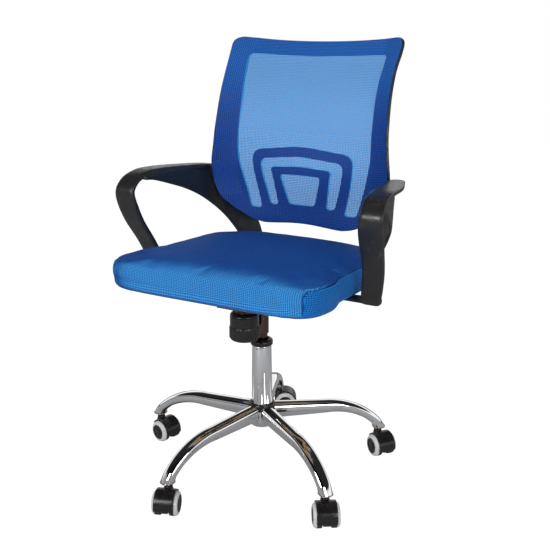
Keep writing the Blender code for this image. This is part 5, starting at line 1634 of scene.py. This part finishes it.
    def frame_form(self) -> BMesh:
        """The moulded frame."""
        sheet = self.surface(*self.frame_grid, 0.0)
        shell = modified(sheet, ("SOLIDIFY", {"thickness": self.thickness, "offset": -1.0}))
        cutters = []
        for outline in self.openings():
            ends = [Matrix.Translation((0, y, 0)) @ Matrix.Rotation(pi / 2, 4, "X") for y in (0.10, 0.40)]
            cutters.append(swept(outline, ends))
        return cut(shell, *cutters)

    def bosses(self) -> BMesh:
        """The bosses that carry the armrests' bolts."""
        start, end = self.boss_x
        y, z = self.boss_place
        r = self.boss_radius
        profile = rounded([(0, end), (r, end), (r, start + 0.020), (r + 0.004, start + 0.004),
                           (r + 0.005, start), (0, start)], 0.001, closed=False)
        lying = Matrix.Translation((0, y, z)) @ Matrix.Rotation(pi / 2, 4, "Y")
        barrel = turned_to(spun(profile, 40, closed=False), lying)
        pad = bmesh.new()
        bmesh.ops.create_cube(pad, size=1.0)
        bmesh.ops.scale(pad, vec=self.boss_pad, verts=pad.verts)
        inward, back = self.boss_pad_at
        bmesh.ops.translate(pad, vec=(start + inward, y + back, z), verts=pad.verts)
        left = fused([barrel, pad], self.boss_voxel, 3)
        right = mirrored_copy(left)
        return joined(left, right)

    def backing(self, places: np.ndarray) -> np.ndarray:
        """Signed distance in millimetres from the frame's openings: above 0 where the frame is behind.

        Args:
            places: (x, z) of each point.

        Returns:
            One distance for each point.
        """
        result = np.full(len(places), 1.0e3)
        for outline in self.openings():
            corners = np.array(outline)
            distance = np.full(len(places), 1.0e3)
            inside = np.zeros(len(places), bool)
            for start, end in zip(corners, np.roll(corners, -1, axis=0)):
                run = end - start
                t = np.clip(((places - start) @ run) / max(run @ run, 1e-12), 0.0, 1.0)
                distance = np.minimum(distance, np.linalg.norm(places - start - t[:, None] * run, axis=1))
                crosses = (start[1] > places[:, 1]) != (end[1] > places[:, 1])
                if abs(run[1]) > 1e-12:
                    at = start[0] + (places[:, 1] - start[1]) * run[0] / run[1]
                    inside ^= crosses & (places[:, 0] < at)
            result = np.minimum(result, np.where(inside, -distance, distance) * 1000)
        return result

    def mesh_form(self) -> BMesh:
        """The stretched mesh with its hem turned back over the frame's edge."""
        form = self.surface(*self.mesh_grid, self.mesh_lift)
        border = [edge for edge in form.edges if edge.is_boundary]
        made = bmesh.ops.extrude_edge_only(form, edges=border)["geom"]
        for vertex in (part for part in made if isinstance(part, BMVert)):
            vertex.co.y += self.hem
        form.verts.ensure_lookup_table()
        places = np.array([(vertex.co.x, vertex.co.z) for vertex in form.verts])
        # The backing distance is the mask for the mesh's painted backlight: paler over the openings.
        layer = form.verts.layers.float.new("backing")
        for vertex, value in zip(form.verts, self.backing(places)):
            vertex[layer] = float(value)
        cloth = form.loops.layers.uv.new("cloth")
        for face in form.faces:
            for loop in face.loops:
                loop[cloth].uv = (loop.vert.co.x, loop.vert.co.z + loop.vert.co.y * 0.3)
        return form

    def build(self, bench: Bench) -> None:
        """Make the frame, its bosses and the mesh."""
        bench.deliver("back_moulded_frame", self.frame_form(), [Finish.NYLON], "seat",
                      ["back_frame"], radians(30))
        bench.deliver("back_bosses", self.bosses(), [Finish.NYLON], "seat")
        form = self.mesh_form()
        area = sum(face.calc_area() for face in form.faces) / self.stretch
        piece = bench.deliver("back_stretched_mesh", form, [Finish.BACK], "seat",
                              ["back_mesh"], radians(40))


# ---- carried-over parts --------------------------------------------------------------------------------
def dress_carried_parts(nodes: dict[str, Object]) -> None:
    """Give every part that is shown as packed its finish.

    Args:
        nodes: The frame's nodes, by name.
    """
    finishes = {"seat_pan": Finish.BOARD, "seat_plate": Finish.ENAMEL, "mechanism_housing": Finish.ENAMEL,
                "rod_clip": Finish.ENAMEL, "lever_bush": Finish.GLOSS}
    for name, node in nodes.items():
        if node.hide_render:
            continue
        finish = finishes.get(name, Finish.STEEL)
        node.data.materials.clear()
        node.data.materials.append(finish.material)
        LOG.info("%s keeps its packed shape, in %s", name, finish.value.name)


# ---- studio --------------------------------------------------------------------------------------------
@dataclass
class Studio:
    """Camera, lamps, pale floor and the pale room that metal mirrors."""

    camera_place: tuple[float, float, float] = (0.8736, -1.5640, 1.0238)
    camera_turn: tuple[float, float, float] = (73.16, 0.0, 28.05)
    lens: float = 53.2
    sensor: float = 36.0
    lamps: tuple[tuple[str, tuple[float, float, float], tuple[float, float, float], float, float], ...] = (
        ("key", (-0.6, -3.2, 1.9), (0.0, 0.0, 0.5), 1.3, 60.0),
        ("fill", (2.6, -1.6, 1.5), (0.0, 0.0, 0.5), 1.4, 30.0),
        ("top", (0.2, 0.9, 3.0), (0.0, 0.1, 0.5), 1.4, 22.0),
    )
    room_light: float = 0.50
    ceiling_fade: Point2 = (0.34, 0.50)
    horizon_fade: Point2 = (0.02, 0.08)
    front_fade: Point2 = (-0.6, 0.0)
    mirrored_floor: Colour = (0.36, 0.36, 0.37)
    floor_half: float = 6.0
    floor_glow: Point2 = (1.12, 0.86)       # strength, and share of what the camera sees

    def build(self) -> None:
        """Set up the camera, the lamps, the world and the floor."""
        scene = bpy.context.scene
        scene.view_settings.view_transform = "Standard"
        camera = bpy.data.objects.new("camera", bpy.data.cameras.new("camera"))
        camera.location = self.camera_place
        camera.rotation_euler = tuple(radians(angle) for angle in self.camera_turn)
        camera.data.sensor_width = self.sensor
        camera.data.lens = self.lens
        scene.collection.objects.link(camera)
        scene.camera = camera
        for name, place, aim, size, power in self.lamps:
            lamp = bpy.data.lights.new(name, "AREA")
            lamp.size = size
            lamp.energy = power
            holder = bpy.data.objects.new(name, lamp)
            holder.location = place
            holder.rotation_euler = (Vector(aim) - Vector(place)).to_track_quat("-Z", "Y").to_euler()
            holder.visible_glossy = name != "top"
            scene.collection.objects.link(holder)
        self._world()
        self._floor()

    def _world(self) -> None:
        """White behind the chair, soft light on it, and a dark ceiling and horizon for metal to mirror."""
        world = bpy.data.worlds.new("room")
        bpy.context.scene.world = world
        world.use_nodes = True
        sheet = NodeSheet(world.node_tree)
        background = world.node_tree.nodes["Background"]
        path = sheet.add("LightPath")
        heading = sheet.add("SeparateXYZ")
        sheet.feed(heading.inputs[0], sheet.add("TexCoord").outputs["Generated"])
        ceiling = sheet.ranged(heading.outputs["Z"], *self.ceiling_fade, (1.0, 0.02))
        horizon = sheet.ranged(heading.outputs["Z"], *self.horizon_fade, (0.04, 1.0))
        front = sheet.ranged(heading.outputs["Y"], *self.front_fade, (0.30, 1.0))
        mirrored = sheet.maths("MULTIPLY", front, sheet.maths("MULTIPLY", ceiling, horizon))
        level = sheet.add("Mix", data_type="FLOAT")
        sheet.feed(level.inputs[0], path.outputs["Is Glossy Ray"])
        level.inputs[2].default_value = self.room_light
        sheet.feed(level.inputs[3], mirrored)
        seen = sheet.add("Mix", data_type="FLOAT")
        shown = sheet.maths("MAXIMUM", path.outputs["Is Camera Ray"], path.outputs["Is Transmission Ray"])
        sheet.feed(seen.inputs[0], shown)
        sheet.feed(seen.inputs[2], level.outputs[0])
        seen.inputs[3].default_value = 1.0
        sheet.feed(background.inputs["Strength"], seen.outputs[0])
        background.inputs["Color"].default_value = (1.0, 1.0, 1.0, 1.0)

    def _floor(self) -> None:
        """A pale floor that reads as white and keeps the chair's soft shadow."""
        form = bmesh.new()
        bmesh.ops.create_grid(form, x_segments=1, y_segments=1, size=self.floor_half)
        mesh = bpy.data.meshes.new("floor")
        form.to_mesh(mesh)
        form.free()
        floor = bpy.data.objects.new("floor", mesh)
        bpy.context.scene.collection.objects.link(floor)
        material, sheet, shader = start_material("pale_floor")
        path = sheet.add("LightPath")
        sheet.feed(shader.inputs["Base Color"],
                   sheet.mixed(path.outputs["Is Glossy Ray"], (0.86, 0.86, 0.86), self.mirrored_floor))
        shader.inputs["Roughness"].default_value = 0.9
        glow = sheet.add("Emission")
        glow.inputs["Color"].default_value = (1.0, 1.0, 1.0, 1.0)
        strength, share = self.floor_glow
        glow.inputs["Strength"].default_value = strength
        blend = sheet.add("MixShader")
        sheet.feed(blend.inputs[0], sheet.maths("MULTIPLY", path.outputs["Is Camera Ray"], share))
        sheet.feed(blend.inputs[1], shader.outputs[0])
        sheet.feed(blend.inputs[2], glow.outputs[0])
        output = material.node_tree.nodes["Material Output"]
        sheet.feed(output.inputs["Surface"], blend.outputs[0])
        mesh.materials.append(material)


def main() -> None:
    """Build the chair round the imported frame."""
    logging.basicConfig(level=logging.INFO, format="%(name)s: %(message)s")
    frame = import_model()
    base = StarBase()
    low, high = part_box("column_tube")
    hub_low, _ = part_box("base_hub")
    bench = Bench(Vector((0.0, (low.y + high.y) / 2, hub_low.z - base.hub_bottom)))
    Studio().build()
    base.build(bench)
    Casters(base).build(bench)
    GasLift().build(bench)
    TiltMechanism().build(bench)
    seat = SeatCushion()
    seat.build(bench)
    Armrests(seat).build(bench)
    Backrest().build(bench)
    dress_carried_parts(frame["nodes"])
    LOG.info("%d new pieces", len(bench.pieces))


if __name__ == "__main__":
    main()
